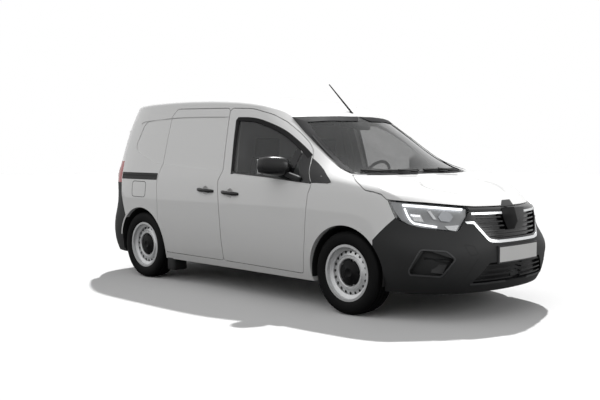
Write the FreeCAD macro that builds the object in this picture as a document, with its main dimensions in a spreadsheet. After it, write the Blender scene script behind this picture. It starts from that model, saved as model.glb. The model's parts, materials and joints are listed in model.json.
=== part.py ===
import FreeCAD, Part
import math
import os
from types import SimpleNamespace
from FreeCAD import Placement, Rotation, Vector

# Panel van in millimetres: +X forward, +Y left, +Z up, the ground at Z = 0 and the origin
# midway between the bumpers' ends. Side-view places are counted from the front axle.

# Driving sizes

SIZES = {
    "wheelbase": 2716, "front_overhang": 970, "rear_overhang": 800,
    "body_width": 1864, "body_height": 1780,
    "side_wall": 60, "top_wall": 28, "roof_edge_radius": 42,
    "sill_height": 225, "shut_gap": 6, "pillar_gap": 9, "skin_depth": 22, "rebate_depth": 34,
    "door_flange": 28, "seal_gap": 14, "glass_thickness": 5, "glass_depth": 8,
    "recess_depth": 5, "overrun": 60,
    "arch_radius": 372, "liner_thickness": 4, "front_well_inner": 500, "rear_well_inner": 590,
    "tyre_radius": 326, "tyre_width": 205, "tyre_bore": 208,
    "tyre_shoulder": 28, "tyre_bulge": 6, "wheel_track": 1594,
    "rim_width": 178, "rim_wall": 5, "flange_radius": 222, "well_radius": 178,
    "disc_thickness": 6, "disc_radius": 128, "hub_radius": 104, "disc_rise": 22, "hub_bore": 30,
    "disc_offset": 34,
    "vent_count": 20, "vent_radius": 9, "vent_circle": 158,
    "bolt_count": 5, "bolt_circle": 54, "bolt_radius": 6,
    "running_gap": 0.3, "spindle_radius": 29.7, "kingpin_inset": 62, "kingpin_radius": 24,
    "floor_bottom": 250, "floor_thickness": 40, "deck_height": 560, "deck_thickness": 30,
    "step_position": 1580, "firewall_position": 330, "firewall_top": 960,
    "bulkhead_thickness": 24,
    "bonnet_gap": 8, "rear_door_gap": 16, "rear_door_split": 70, "rear_door_base": 592,
    "rear_door_half": 700, "rear_door_top": 1640,
    "carrier_radius": 50, "carrier_length": 50, "spindle_tip": 14, "hub_flange_radius": 66, "hub_flange": 12,
    "kingpin_reach": 110, "arm_thickness": 20, "arm_width": 44, "pin_radius": 10, "pin_length": 28,
    "subframe_length": 300, "strut_inset": 135, "strut_radius": 26, "strut_top": 860, "strut_slot": 90,
    "rail_inner": 380, "rail_width": 80, "rail_height": 100, "rail_drop": 12,
    "beam_radius": 34, "beam_lead": 260, "trailing_arm": 600, "arm_reach": 430,
    "tower_length": 150, "liner_lip": 45, "liner_bottom": 262,
    "dash_bottom": 640, "dash_reach": 100, "dash_top": 1050, "dash_depth": 400, "dash_half": 790,
    "seat_front": 900, "seat_length": 520, "seat_height": 660, "seat_cushion": 130, "seat_back": 110,
    "seat_lean": 60, "seat_top": 1200, "seat_offset": 385, "seat_width": 470, "head_height": 170,
    "wheel_back": 800, "wheel_height": 1000, "wheel_lean": 28, "wheel_ring": 180, "wheel_grip": 14,
    "column_length": 260, "engine_length": 620, "engine_height": 520, "engine_share_behind": 0.25,
    "tank_place": 1750, "tank_length": 650, "tank_width": 840, "tank_depth": 70,
    "bowl_radius": 56, "bowl_centre": 35, "front_handle_place": 1343, "front_handle_height": 893,
    "slide_handle_place": 1688, "slide_handle_height": 905,
    "trim_depth": 8, "trim_stand": 4, "trim_bar_half": 440, "slat_depth": 7, "slat_thickness": 11,
    "carrier_stand": 14, "lower_block": 50, "crumb": 16,
    "rail_depth": 12, "fixing_place": 1862, "fixing_spacing": 681, "fixing_across": 1240, "fixing_radius": 3.4,
    "fixing_seat": 12, "fixing_depth": 1.5,
    "mirror_place": 640, "mirror_inner": 893, "mirror_outer": 1080, "mirror_depth": 160, "mirror_softness": 50,
    "mirror_bottom": 1046, "mirror_top": 1226, "mirror_foot_reach": 800, "mirror_arm": 22,
    "antenna_place": 760, "antenna_foot": 18, "antenna_rake": 43, "antenna_radius": 3, "antenna_length": 370,
}

doc = FreeCAD.newDocument("panel_van")
sheet = doc.addObject("Spreadsheet::Sheet", "sizes")
for row, (alias, value) in enumerate(SIZES.items(), start=1):
    sheet.set(f"A{row}", alias)
    sheet.set(f"B{row}", str(value))
    sheet.setAlias(f"B{row}", alias)
doc.recompute()
S = SimpleNamespace(**{alias: float(sheet.get(alias)) for alias in SIZES})

HALF_WIDTH = S.body_width / 2
FRONT_AXLE = (S.wheelbase + S.rear_overhang - S.front_overhang) / 2
REAR_AXLE = FRONT_AXLE - S.wheelbase
WHEEL_Y = S.wheel_track / 2
FAR = S.wheelbase + S.front_overhang + S.rear_overhang
RIGHT, LEFT = -1, 1
NODES = []


# Outlines and prisms

def grown(corners, distance):
    """Move every side of a closed outline outwards by a distance; corners are (u, v, radius)."""
    count = len(corners)
    area = sum(corners[i][0] * corners[(i + 1) % count][1] - corners[(i + 1) % count][0] * corners[i][1]
               for i in range(count))
    turn = math.copysign(1, area)
    result = []
    for i in range(count):
        before, here, after = corners[i - 1], corners[i], corners[(i + 1) % count]
        first = Vector(here[0] - before[0], here[1] - before[1], 0).normalize()
        second = Vector(after[0] - here[0], after[1] - here[1], 0).normalize()
        out_first = Vector(first.y, -first.x, 0) * turn
        out_second = Vector(second.y, -second.x, 0) * turn
        middle = out_first + out_second
        shift = middle * (2 * distance / middle.dot(middle))
        bend = turn * (first.x * second.y - first.y * second.x)
        radius = max(here[2] + math.copysign(distance, bend), 0) if here[2] else 0
        result.append((here[0] + shift.x, here[1] + shift.y, radius))
    return result


def rounded_wire(corners, place):
    """Closed wire through (u, v, radius) corners; place turns (u, v) into a point."""
    count = len(corners)
    points = [Vector(u, v, 0) for u, v, _ in corners]
    arcs = []
    for i in range(count):
        here = points[i]
        to_before = points[i - 1] - here
        to_after = points[(i + 1) % count] - here
        angle = to_before.getAngle(to_after)
        room = min(to_before.Length, to_after.Length) / 2
        radius = corners[i][2]
        reach = min(radius / math.tan(angle / 2), room * 0.98) if radius else 0
        if reach < 0.5 or abs(math.pi - angle) < 0.01:
            arcs.append((here, None, here))
            continue
        radius = reach * math.tan(angle / 2)
        start = here + to_before.normalize() * reach
        end = here + to_after.normalize() * reach
        centre = here + (to_before + to_after).normalize() * (radius / math.sin(angle / 2))
        middle = centre + (here - centre).normalize() * radius
        arcs.append((start, middle, end))
    edges = []
    for i in range(count):
        start, middle, end = arcs[i]
        if middle is not None:
            edges.append(Part.Arc(place(start), place(middle), place(end)).toShape())
        following = arcs[(i + 1) % count][0]
        if (following - end).Length > 0.01:
            edges.append(Part.makeLine(place(end), place(following)))
    return Part.Wire(edges)


def side_prism(corners, y_low, y_high):
    """Side-view outline carried from one Y to another."""
    wire = rounded_wire(corners, lambda p: Vector(p.x, y_low, p.y))
    return Part.Face(wire).extrude(Vector(0, y_high - y_low, 0))


def top_prism(corners, z_low, z_high):
    wire = rounded_wire(corners, lambda p: Vector(p.x, p.y, z_low))
    return Part.Face(wire).extrude(Vector(0, 0, z_high - z_low))


def front_prism(corners, x_low, x_high):
    """Front-view outline of (y, z) corners carried from one X to another."""
    wire = rounded_wire(corners, lambda p: Vector(x_low, p.x, p.y))
    return Part.Face(wire).extrude(Vector(x_high - x_low, 0, 0))


def corner_prism(corners, side):
    """Outline seen from a front corner, 45 degrees round; u runs across that view."""
    half = math.sqrt(0.5)
    outwards = Vector(half, side * half, 0)
    across = Vector(half, -side * half, 0)
    base = Vector(FRONT_AXLE, 0, 0)
    wire = rounded_wire(corners, lambda p: base + across * p.x + Vector(0, 0, p.y))
    return Part.Face(wire).extrude(outwards * FAR)


def at(share_x, share_z, share_r=0):
    """Side-view corner from shares of the wheelbase and of the body's height."""
    return (FRONT_AXLE + share_x * S.wheelbase, share_z * S.body_height, share_r * S.body_height)


def reach(side):
    """Y range that takes in one whole side of the van."""
    return (0, side * FAR)


def mirrored(shape):
    return shape.mirror(Vector(0, 0, 0), Vector(0, 1, 0))


def box(x_low, x_high, y_low, y_high, z_low, z_high):
    return Part.makeBox(x_high - x_low, y_high - y_low, z_high - z_low, Vector(x_low, y_low, z_low))


# Body surfaces

# Along the nose: share of the front overhang behind the tip, share of the half width.
BLUNT_NOSE_SHARES = ((0, 0), (0, 0.15), (0.02, 0.33), (0.07, 0.53), (0.16, 0.73), (0.30, 0.87),
                     (0.47, 0.955), (0.76, 1.0))
SWEPT_NOSE_SHARES = ((0, 0), (0, 0.15), (0.04, 0.33), (0.13, 0.53), (0.26, 0.69), (0.40, 0.85),
                     (0.57, 0.965), (0.82, 1.0))
TAIL_SHARES = ((0.62, 1.0), (0.33, 0.965), (0.16, 0.89), (0.06, 0.75), (0.015, 0.55), (0, 0.30), (0, 0))
FLANK_SHARES = (0.25, 0.5, 0.75)
FLANK_INNER_SHARE = 0.45
FLANK_TOP_SHARE = 0.955

# Level by level: height, half width, nose ahead of the front axle, tail behind the rear axle,
# as shares of the body height, half width, front overhang and rear overhang; then the sweep.
LEVEL_SHARES = (
    (0.084, 0.912, 0.887, 0.905, 0), (0.140, 0.955, 0.974, 0.968, 0), (0.225, 0.984, 1.005, 0.999, 0),
    (0.315, 0.999, 1.002, 0.955, 0), (0.371, 1.002, 0.974, 0.893, 0.8), (0.438, 1.0, 0.969, 0.861, 1),
    (0.506, 0.994, 0.943, 0.880, 1), (0.562, 0.983, 0.907, 0.899, 1), (0.607, 0.962, 0.206, 0.880, 0),
    (0.652, 0.944, -0.062, 0.855, 0), (0.730, 0.912, -0.278, 0.824, 0), (0.831, 0.867, -0.557, 0.768, 0),
    (0.927, 0.824, -0.825, 0.674, 0), (1.011, 0.783, -1.062, 0.568, 0), (1.096, 0.751, -1.237, 0.455, 0),
)


def spline_through_net(net):
    """Clamped cubic surface over a rectangular net of control points."""
    def knots(count):
        inner = count - 4
        return [i / (inner + 1) for i in range(inner + 2)], [4] + [1] * inner + [4]
    rows, row_counts = knots(len(net))
    columns, column_counts = knots(len(net[0]))
    surface = Part.BSplineSurface()
    surface.buildFromPolesMultsKnots(net, row_counts, column_counts, rows, columns, False, False, 3, 3)
    return surface


def level_row(level, inset, side):
    height, width, nose, tail, sweep = level
    half = width * HALF_WIDTH - inset
    tip = nose * S.front_overhang - inset
    end = -S.wheelbase - tail * S.rear_overhang + inset
    front = [(tip - ((1 - sweep) * blunt[0] + sweep * swept[0]) * S.front_overhang,
              ((1 - sweep) * blunt[1] + sweep * swept[1]) * half)
             for blunt, swept in zip(BLUNT_NOSE_SHARES, SWEPT_NOSE_SHARES)]
    rear = [(end + back * S.rear_overhang, across * half) for back, across in TAIL_SHARES]
    start, stop = front[-1][0], rear[0][0]
    flank = [(start + (stop - start) * share, half) for share in FLANK_SHARES]
    return [Vector(FRONT_AXLE + x, side * y, height * S.body_height) for x, y in front + flank + rear]


def side_face(inset, side):
    return spline_through_net([level_row(level, inset, side) for level in LEVEL_SHARES]).toShape()


# Centre-line profile over bonnet, windscreen and roof: place and height as shares of the
# wheelbase and body height, then the sweep and the crown at the sides as shares of the same.
PROFILE_SHARES = (
    (0.423, 0.388, 0.1215, 0), (0.372, 0.444, 0.1215, 0), (0.326, 0.490, 0.1215, 0), (0.258, 0.525, 0.074, 0),
    (0.166, 0.563, 0.044, 0), (0.096, 0.588, 0.044, 0), (0.048, 0.604, 0.055, 0), (0.018, 0.621, 0.070, 0),
    (-0.041, 0.677, 0.099, 0.003), (-0.110, 0.752, 0.105, 0.006), (-0.177, 0.817, 0.107, 0.006),
    (-0.236, 0.872, 0.107, 0.006), (-0.280, 0.906, 0.099, 0.007), (-0.331, 0.930, 0.081, 0.011),
    (-0.423, 0.960, 0.041, 0.019), (-0.552, 0.984, 0.015, 0.026), (-0.736, 0.998, 0, 0.029),
    (-0.920, 0.999, 0, 0.029), (-1.068, 0.991, 0, 0.028), (-1.160, 0.975, 0, 0.027),
    (-1.252, 0.941, 0, 0.027), (-1.362, 0.876, 0, 0.027),
)
ACROSS_SHARES = (-1.06, -0.815, -0.53, -0.245, 0, 0.245, 0.53, 0.815, 1.06)
CROWN_SHARE = 0.815


def top_face(inset):
    net = []
    for across in ACROSS_SHARES:
        square = (across / CROWN_SHARE) ** 2
        net.append([Vector(FRONT_AXLE + (place - sweep * square) * S.wheelbase, across * HALF_WIDTH,
                           (height - crown * square) * S.body_height - inset)
                    for place, height, sweep, crown in PROFILE_SHARES])
    return spline_through_net(net).toShape()


def body_form(side_inset, top_inset):
    """Closed form of the whole body, drawn in by an inset at the sides and from the top."""
    walls = [side_face(side_inset, RIGHT), side_face(side_inset, LEFT)]

    def lid(height):
        rim = [edge for wall in walls for edge in wall.Edges
               if abs(edge.BoundBox.ZMin - height) < 0.01 and abs(edge.BoundBox.ZMax - height) < 0.01]
        return Part.Face(Part.Wire(Part.sortEdges(rim)[0]))
    low = LEVEL_SHARES[0][0] * S.body_height
    high = LEVEL_SHARES[-1][0] * S.body_height
    form = Part.Solid(Part.Shell(walls + [lid(low), lid(high)]))
    return form.cut(top_face(top_inset).extrude(Vector(0, 0, S.body_height)))


def rounded_rails(hollow, form, radius):
    """Round the long edges where the sides of a form meet its bonnet, pillars and roof."""
    marks = [edge for edge in form.Edges
             if edge.BoundBox.XLength > S.wheelbase * 0.9 and edge.BoundBox.ZMax > S.body_height * 0.7]
    rails = [edge for edge in hollow.Edges for mark in marks
             if abs(edge.Length - mark.Length) < 1 and (edge.CenterOfMass - mark.CenterOfMass).Length < 1]
    return hollow.makeFillet(radius, rails)


def wheel_wells(radius):
    """Spaces that the four wheels turn in."""
    wells = []
    for axle, inner in ((FRONT_AXLE, S.front_well_inner), (REAR_AXLE, S.rear_well_inner)):
        for side in (RIGHT, LEFT):
            wells.append(Part.makeCylinder(radius, S.body_width, Vector(axle, side * inner, S.tyre_radius),
                                           Vector(0, side, 0)))
    return wells


plain_form = body_form(0, 0)
inner_form = body_form(S.side_wall, S.top_wall)
ground_cut = box(-FAR, FAR, -FAR, FAR, -S.overrun, S.sill_height)
wells = wheel_wells(S.arch_radius)
whole_shell = rounded_rails(plain_form.cut(inner_form), plain_form, S.roof_edge_radius)
whole_shell = whole_shell.cut([ground_cut] + wells)
glass_face_form = body_form(S.glass_thickness, S.glass_thickness)
skin_form = body_form(S.skin_depth, S.skin_depth)
rebate_form = body_form(S.rebate_depth, S.rebate_depth)

right_half = box(-FAR, FAR, -FAR, 0, 0, FAR)
left_half = box(-FAR, FAR, 0, FAR, 0, FAR)
flank_box = box(REAR_AXLE, FRONT_AXLE, -FAR, -HALF_WIDTH * FLANK_INNER_SHARE, 0,
                S.body_height * FLANK_TOP_SHARE)
tail_box = box(-FAR, REAR_AXLE, -FAR, FAR, 0, S.body_height * FLANK_TOP_SHARE)
flank_shell = whole_shell.common(flank_box)
tail_shell = whole_shell.common(tail_box)
flank_skin_form = skin_form.common(flank_box)
flank_rebate_form = rebate_form.common(flank_box)
tail_skin_form = skin_form.common(tail_box)
tail_rebate_form = rebate_form.common(tail_box)


def add_block(name, **bindings):
    """A plain block whose sides and place are bound to the sheet."""
    piece = doc.addObject("Part::Box", name)
    piece.Label = name
    for side in ("Length", "Width", "Height"):
        piece.setExpression(side, bindings[side])
    for axis in "xyz":
        piece.setExpression(".Placement.Base." + axis, bindings[axis])
    NODES.append(piece)


def add(name, shape):
    """A sub-part whose shape no primitive makes."""
    if len(shape.Solids) == 1:
        shape = shape.Solids[0]
    piece = doc.addObject("Part::Feature", name)
    piece.Label = name
    piece.Shape = shape
    piece.Placement = Placement(Vector(0, 0, 0), Rotation())
    NODES.append(piece)
    return shape


# Openings of doors and glass, as shares of the wheelbase and the body height

FRONT_DOOR = [at(*corner) for corner in (
    (-0.170, 0.157, 0.014), (-0.153, 0.323, 0.20), (-0.147, 0.456, 0.20), (-0.143, 0.516, 0.06),
    (-0.130, 0.565, 0.03), (-0.176, 0.685, 0.08), (-0.190, 0.714, 0.05), (-0.212, 0.744, 0.10),
    (-0.258, 0.791, 0.25), (-0.320, 0.846, 0.25), (-0.376, 0.883, 0.25), (-0.458, 0.915, 0.25),
    (-0.555, 0.921, 0.03), (-0.554, 0.876, 0.20), (-0.540, 0.613, 0.04), (-0.559, 0.558, 0.04),
    (-0.553, 0.480, 0.20), (-0.542, 0.348, 0.20), (-0.538, 0.163, 0.014))]
HINGE_LEAVES = [[at(back, low), at(back, high), at(front, high), at(front, low)] for back, front, low, high in (
    (-0.168, -0.155, 0.255, 0.290), (-0.156, -0.147, 0.410, 0.445))]
PILLAR_LINE = FRONT_DOOR[-7:]
SLIDING_DOOR = ([(x - S.pillar_gap, z, r) for x, z, r in reversed(PILLAR_LINE)]
                + [at(*corner) for corner in (
                    (-0.8435, 0.929, 0.035), (-0.875, 0.888, 0.06), (-0.880, 0.635, 0.06),
                    (-0.901, 0.549, 0.06), (-0.894, 0.419, 0.06), (-0.890, 0.163, 0))])
DOOR_WINDOW = [at(*corner) for corner in (
    (-0.5165, 0.871, 0.022), (-0.495, 0.604, 0.014), (-0.158, 0.572, 0.014), (-0.190, 0.668, 0.05),
    (-0.234, 0.728, 0.10), (-0.309, 0.793, 0.2), (-0.384, 0.836, 0.2), (-0.443, 0.859, 0.2))]
BLANK_WINDOW = [at(*corner) for corner in (
    (-0.572, 0.879, 0.02), (-0.563, 0.610, 0.01), (-0.865, 0.633, 0.2), (-0.932, 0.638, 0.05),
    (-1.076, 0.713, 0.04), (-1.036, 0.866, 0.06), (-0.870, 0.883, 0.3))]
HANDLE_SKIN_SHARE = 0.994
BONNET_LINE_SHARES = ((-0.012, 0.606, 0.02), (0.050, 0.568, 0.02), (0.072, 0.549, 0.02), (0.099, 0.543, 0.02),
                      (0.124, 0.534, 0.02), (0.141, 0.513, 0.01), (0.214, 0.501, 0.2), (0.297, 0.482, 0.1),
                      (0.335, 0.481, 0.1))
BONNET_LINE = [at(*corner) for corner in BONNET_LINE_SHARES]
BONNET_SIDE = ([(FRONT_AXLE - S.wheelbase / 8, S.body_height * 0.606, 0)] + BONNET_LINE
               + [at(0.46, 0.481), at(0.46, 0.75), at(-0.125, 0.75)])


def side_of_body(shares, side):
    return [(FRONT_AXLE + x * S.wheelbase, side * y * HALF_WIDTH, r * HALF_WIDTH) for x, y, r in shares]


def both_sides(shares):
    """Top-view outline from its left half, given from the front centre back round to the rear centre."""
    left = side_of_body(shares, LEFT)
    right = [(x, -y, r) for x, y, r in reversed(left)]
    return left + right


# Top view of the bonnet's rear edge and the windscreen's outline, on the left
BONNET_REAR_SHARES = ((0.046, 0.30, 0.8), (0.022, 0.58, 0.5), (-0.008, 0.80, 0.3), (-0.030, 1.2, 0))
SCREEN_BASE_SHARES = ((0.034, 0.30, 0.8), (0.007, 0.57, 0.5), (-0.030, 0.768, 0.05))
SCREEN_TOP_SHARES = ((-0.298, 0.608, 0.06), (-0.266, 0.36, 0.5), (-0.250, 0.13, 0.5))

bonnet_plan = both_sides(((0.46, 1.2, 0),) + tuple(reversed(BONNET_REAR_SHARES)))
screen_plan = both_sides(SCREEN_BASE_SHARES + SCREEN_TOP_SHARES)
cowl_plan = both_sides(((0.040, 0.30, 0.8), (0.016, 0.58, 0.5), (-0.014, 0.80, 0.3), (-0.045, 0.80, 0.02),
                        (-0.030, 0.768, 0.05), (0.007, 0.57, 0.5), (0.034, 0.30, 0.8)))
shelf_plan = both_sides(((0.037, 0.30, 0.8), (0.012, 0.58, 0.5), (-0.022, 0.80, 0.3), (-0.130, 0.80, 0)))


def door_panel(shell, skin_limit, skin, core):
    """A door: its skin out to one prism, and behind the skin a core kept within a smaller one."""
    return shell.common(skin).cut(skin.cut(core).common(skin_limit))


def side_door(outline):
    return door_panel(flank_shell, flank_skin_form, side_prism(outline, *right_reach),
                      side_prism(grown(outline, -S.door_flange), *right_reach))


def side_aperture(outline, leaves=()):
    """What a side door leaves open round it: the way through, and a rebate behind its skin.

    The rebate's bed rises to the door at its hinge leaves.
    """
    way_through = side_prism(grown(outline, S.seal_gap - S.door_flange), *right_reach)
    bed = [flank_rebate_form]
    if leaves:
        raised = body_form(S.skin_depth + S.running_gap, S.skin_depth + S.running_gap)
        bed += [raised.common(side_prism(leaf, *right_reach)) for leaf in leaves]
    return [way_through, side_prism(grown(outline, S.shut_gap), *right_reach).cut(bed)]


right_reach = reach(RIGHT)
bonnet_tool = side_prism(BONNET_SIDE, -FAR, FAR).common(
    top_prism(bonnet_plan, S.body_height / 4, S.body_height))
bonnet_hole = side_prism(grown(BONNET_SIDE, S.bonnet_gap), -FAR, FAR).common(
    top_prism(grown(bonnet_plan, S.bonnet_gap), S.body_height / 4, S.body_height))
screen_tool = top_prism(screen_plan, S.body_height * 0.56, S.body_height * 1.2)


# Regions of the body panels

FENDER = [at(*corner) for corner in (
    (-0.172, 0.05), (-0.172, 0.20), (-0.25, 0.20), (-0.25, 0.563), (-0.050, 0.577), (-0.068, 0.602),
    (-0.072, 0.64), (0.141, 0.64), (0.141, 0.515), (0.166, 0.437), (0.105, 0.341), (0.105, 0.05))]
NOSE = [at(*corner) for corner in (
    (0.105, 0.05), (0.105, 0.341), (0.166, 0.437), (0.141, 0.515), (0.141, 0.56), (0.50, 0.56), (0.50, 0.05))]
TAIL_LAMP = [at(*corner) for corner in ((-1.140, 0.525), (-1.144, 0.646), (-1.45, 0.646), (-1.45, 0.525))]
TAIL = [at(*corner) for corner in (
    (-1.05, 0.05), (-1.05, 0.25), (-1.098, 0.325), (-1.122, 0.40), (-1.138, 0.455), (-1.140, 0.525),
    (-1.45, 0.525), (-1.45, 0.05))]
HEADLAMP = [(u * S.front_overhang, z * S.body_height, r * S.body_height) for u, z, r in (
    (-0.342, 0.512, 0.004), (0.253, 0.484, 0.012), (0.276, 0.467, 0.008), (0.187, 0.383, 0.012),
    (0.061, 0.386, 0.02), (-0.121, 0.4005, 0.1), (-0.255, 0.422, 0.1), (-0.291, 0.439, 0.03),
    (-0.321, 0.4775, 0.05))]
FOG_RECESS = [(u * S.front_overhang, z * S.body_height, r * S.body_height) for u, z, r in (
    (-0.085, 0.315, 0.012), (0.145, 0.274, 0.012), (0.055, 0.200, 0.012), (-0.201, 0.211, 0.012))]


def front_shape(shares):
    """Symmetric front-view outline from its left half, given from the top down."""
    left = [(y * HALF_WIDTH, z * S.body_height, r * S.body_height) for y, z, r in shares]
    return left + [(-y, z, r) for y, z, r in reversed(left)]


GRILLE = front_shape(((0.483, 0.500, 0), (0.531, 0.413, 0.01), (0.466, 0.412, 0.01), (0.358, 0.335, 0.03),
                      (0.266, 0.330, 0.02)))
GRILLE_FIELD = front_shape(((0.440, 0.448, 0.005), (0.440, 0.428, 0.01), (0.344, 0.356, 0.02),
                            (0.262, 0.350, 0.02)))
CARRIER = front_shape(((0.125, 0.512, 0.008), (0.105, 0.440, 0.02), (0.060, 0.383, 0.01)))
TRIM_INSIDE = front_shape(((0.458, 0.4225, 0), (0.350, 0.348, 0.03), (0.262, 0.342, 0.02)))
TRIM_TOP_SHARE = 0.4225
TRIM_BAR_SHARES = (0.449, 0.458)
SLAT_SHARES = (0.436, 0.417, 0.399, 0.380, 0.362)
LOWER_SLAT_SHARES = (0.238, 0.218, 0.198, 0.178)
LOWER_GRILLE = front_shape(((0.372, 0.2505, 0.01), (0.536, 0.163, 0.01)))
REAR_DOOR_TOP_SHARE = 0.86
REAR_DOOR_WAIST_SHARE = 0.62


def rear_door_outline(side):
    """Rear-view outline of one rear door, from the split to its hinge side."""
    near = S.rear_door_split + side * S.rear_door_gap / 2
    far = side * S.rear_door_half
    waist = REAR_DOOR_WAIST_SHARE * S.body_height
    corner = S.rear_door_gap * 3
    return [(near, S.rear_door_base, 0), (far, S.rear_door_base, corner), (far, waist, S.body_height / 2),
            (far * REAR_DOOR_TOP_SHARE, S.rear_door_top, corner), (near, S.rear_door_top, 0)]


REAR_X = (REAR_AXLE - S.rear_overhang / 2, REAR_AXLE - S.rear_overhang * 1.5)
REAR_CORNER = S.rear_door_gap * 3


def rear_opening():
    waist = REAR_DOOR_WAIST_SHARE * S.body_height
    top = S.rear_door_half * REAR_DOOR_TOP_SHARE
    right = [(-top, S.rear_door_top, REAR_CORNER), (-S.rear_door_half, waist, S.body_height / 2),
             (-S.rear_door_half, S.rear_door_base, REAR_CORNER)]
    return right + [(-y, z, r) for y, z, r in reversed(right)]


rear_way_through = front_prism(grown(rear_opening(), S.seal_gap - S.door_flange), *REAR_X)
rear_rebate = front_prism(grown(rear_opening(), S.shut_gap), *REAR_X).cut(tail_rebate_form)
rear_aperture = [rear_way_through, rear_rebate]
front_door_aperture = side_aperture(FRONT_DOOR, HINGE_LEAVES)
sliding_door_aperture = side_aperture(SLIDING_DOOR)
nose_prism = side_prism(NOSE, -FAR, FAR)
tail_prism = side_prism(TAIL, -FAR, FAR)
lamp_prism = side_prism(TAIL_LAMP, -FAR, FAR)
fender_prism = side_prism(FENDER, -FAR, -HALF_WIDTH * 0.7)
cowl_tool = top_prism(cowl_plan, S.body_height * 0.5, S.body_height)
plenum = top_prism(cowl_plan, S.firewall_top - S.deck_thickness, S.body_height)
ROOF_SIDE_SHARES = ((-0.345, 0.640, 0.1), (-0.42, 0.715, 0.3), (-0.52, 0.770, 0.4), (-0.75, 0.795, 0.8),
                    (-1.135, 0.795, 0.1), (-1.168, 0.70, 0.1), (-1.180, 0.30, 0.3))
roof_tool = top_prism(both_sides(tuple(reversed(SCREEN_TOP_SHARES)) + ROOF_SIDE_SHARES),
                      S.body_height * 0.8, S.body_height * 1.2)
grille_prism = front_prism(GRILLE, FRONT_AXLE + S.front_overhang / 2, FRONT_AXLE + S.front_overhang * 1.5)
lower_grille_prism = front_prism(LOWER_GRILLE, FRONT_AXLE + S.front_overhang / 2,
                                 FRONT_AXLE + S.front_overhang * 1.5)
headlamp_prism = corner_prism(HEADLAMP, RIGHT)


def largest(shape):
    return max(shape.Solids, key=lambda solid: solid.Volume)


def pair(shape):
    """A shape on the right and its mirror image, as one sub-part of two solids."""
    return Part.makeCompound([shape, mirrored(shape)])


def hand_bowl(place, height):
    """Round hollow behind a door handle."""
    skin_y = RIGHT * HALF_WIDTH * HANDLE_SKIN_SHARE
    return Part.makeSphere(S.bowl_radius, Vector(FRONT_AXLE - place, skin_y + RIGHT * S.bowl_centre, height))


def make_doors():
    window = side_prism(DOOR_WINDOW, *right_reach)
    door = side_door(FRONT_DOOR).cut([window, hand_bowl(S.front_handle_place, S.front_handle_height)])
    glass_inner = body_form(S.glass_depth + S.glass_thickness, S.glass_depth + S.glass_thickness)
    glass = body_form(S.glass_depth, S.glass_depth).common(window).cut(glass_inner)
    for name, shape in (("front_door", door), ("door_glass", glass)):
        add(name + "_right", shape)
        add(name + "_left", mirrored(shape))
    recess = side_prism(BLANK_WINDOW, *right_reach).cut(body_form(S.recess_depth, S.recess_depth))
    bowl = hand_bowl(S.slide_handle_place, S.slide_handle_height)
    add("sliding_door", side_door(SLIDING_DOOR).cut([recess, bowl]))
    return recess


def make_rear_doors():
    opening = front_prism(rear_opening(), *REAR_X)
    core = front_prism(grown(rear_opening(), -S.door_flange), *REAR_X)
    both = door_panel(tail_shell, tail_skin_form, opening, core)
    split = S.rear_door_split
    half_gap = S.rear_door_gap / 2
    add("rear_door_right", both.common(box(-FAR, 0, -FAR, split - half_gap, 0, FAR)))
    add("rear_door_left", both.common(box(-FAR, 0, split + half_gap, FAR, 0, FAR)))


SLIDE_RAIL = [at(*corner) for corner in ((-1.138, 0.547, 0.004), (-1.138, 0.584, 0.004), (-0.9005, 0.585, 0.004),
                                         (-0.9035, 0.549, 0.004))]


def make_slide_rail():
    """Cover over the sliding door's rail; returns the slot it lies in."""
    slot = side_prism(SLIDE_RAIL, *right_reach).cut(body_form(S.rail_depth, S.rail_depth))
    cover = side_prism(grown(SLIDE_RAIL, -S.running_gap), *right_reach)
    cover = whole_shell.common(cover).cut(body_form(S.rail_depth - S.running_gap, S.rail_depth))
    add("slide_rail", largest(cover))
    return slot


def make_sides(recess):
    shared = [nose_prism, tail_prism, lamp_prism, cowl_tool, screen_tool, roof_tool, bonnet_hole] + rear_aperture
    plain = whole_shell.common(right_half).cut(shared + [fender_prism, recess] + front_door_aperture)
    add("side_body_right", largest(plain.cut(sliding_door_aperture + [make_slide_rail()])))
    add("side_body_left", mirrored(largest(plain)))
    fender = whole_shell.common(fender_prism).cut(front_door_aperture + [bonnet_hole, cowl_tool, screen_tool])
    add("front_fender_right", fender)
    add("front_fender_left", mirrored(fender))


def slats(shares, thickness, gap):
    """Level bars across the nose on both sides of a gap in the middle."""
    ahead = FRONT_AXLE + S.front_overhang / 2
    bars = []
    for share in shares:
        low = share * S.body_height - thickness / 2
        for side in (RIGHT, LEFT):
            y_low, y_high = sorted((side * gap, side * FAR))
            bars.append(box(ahead, FAR, y_low, y_high, low, low + thickness))
    return bars


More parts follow.
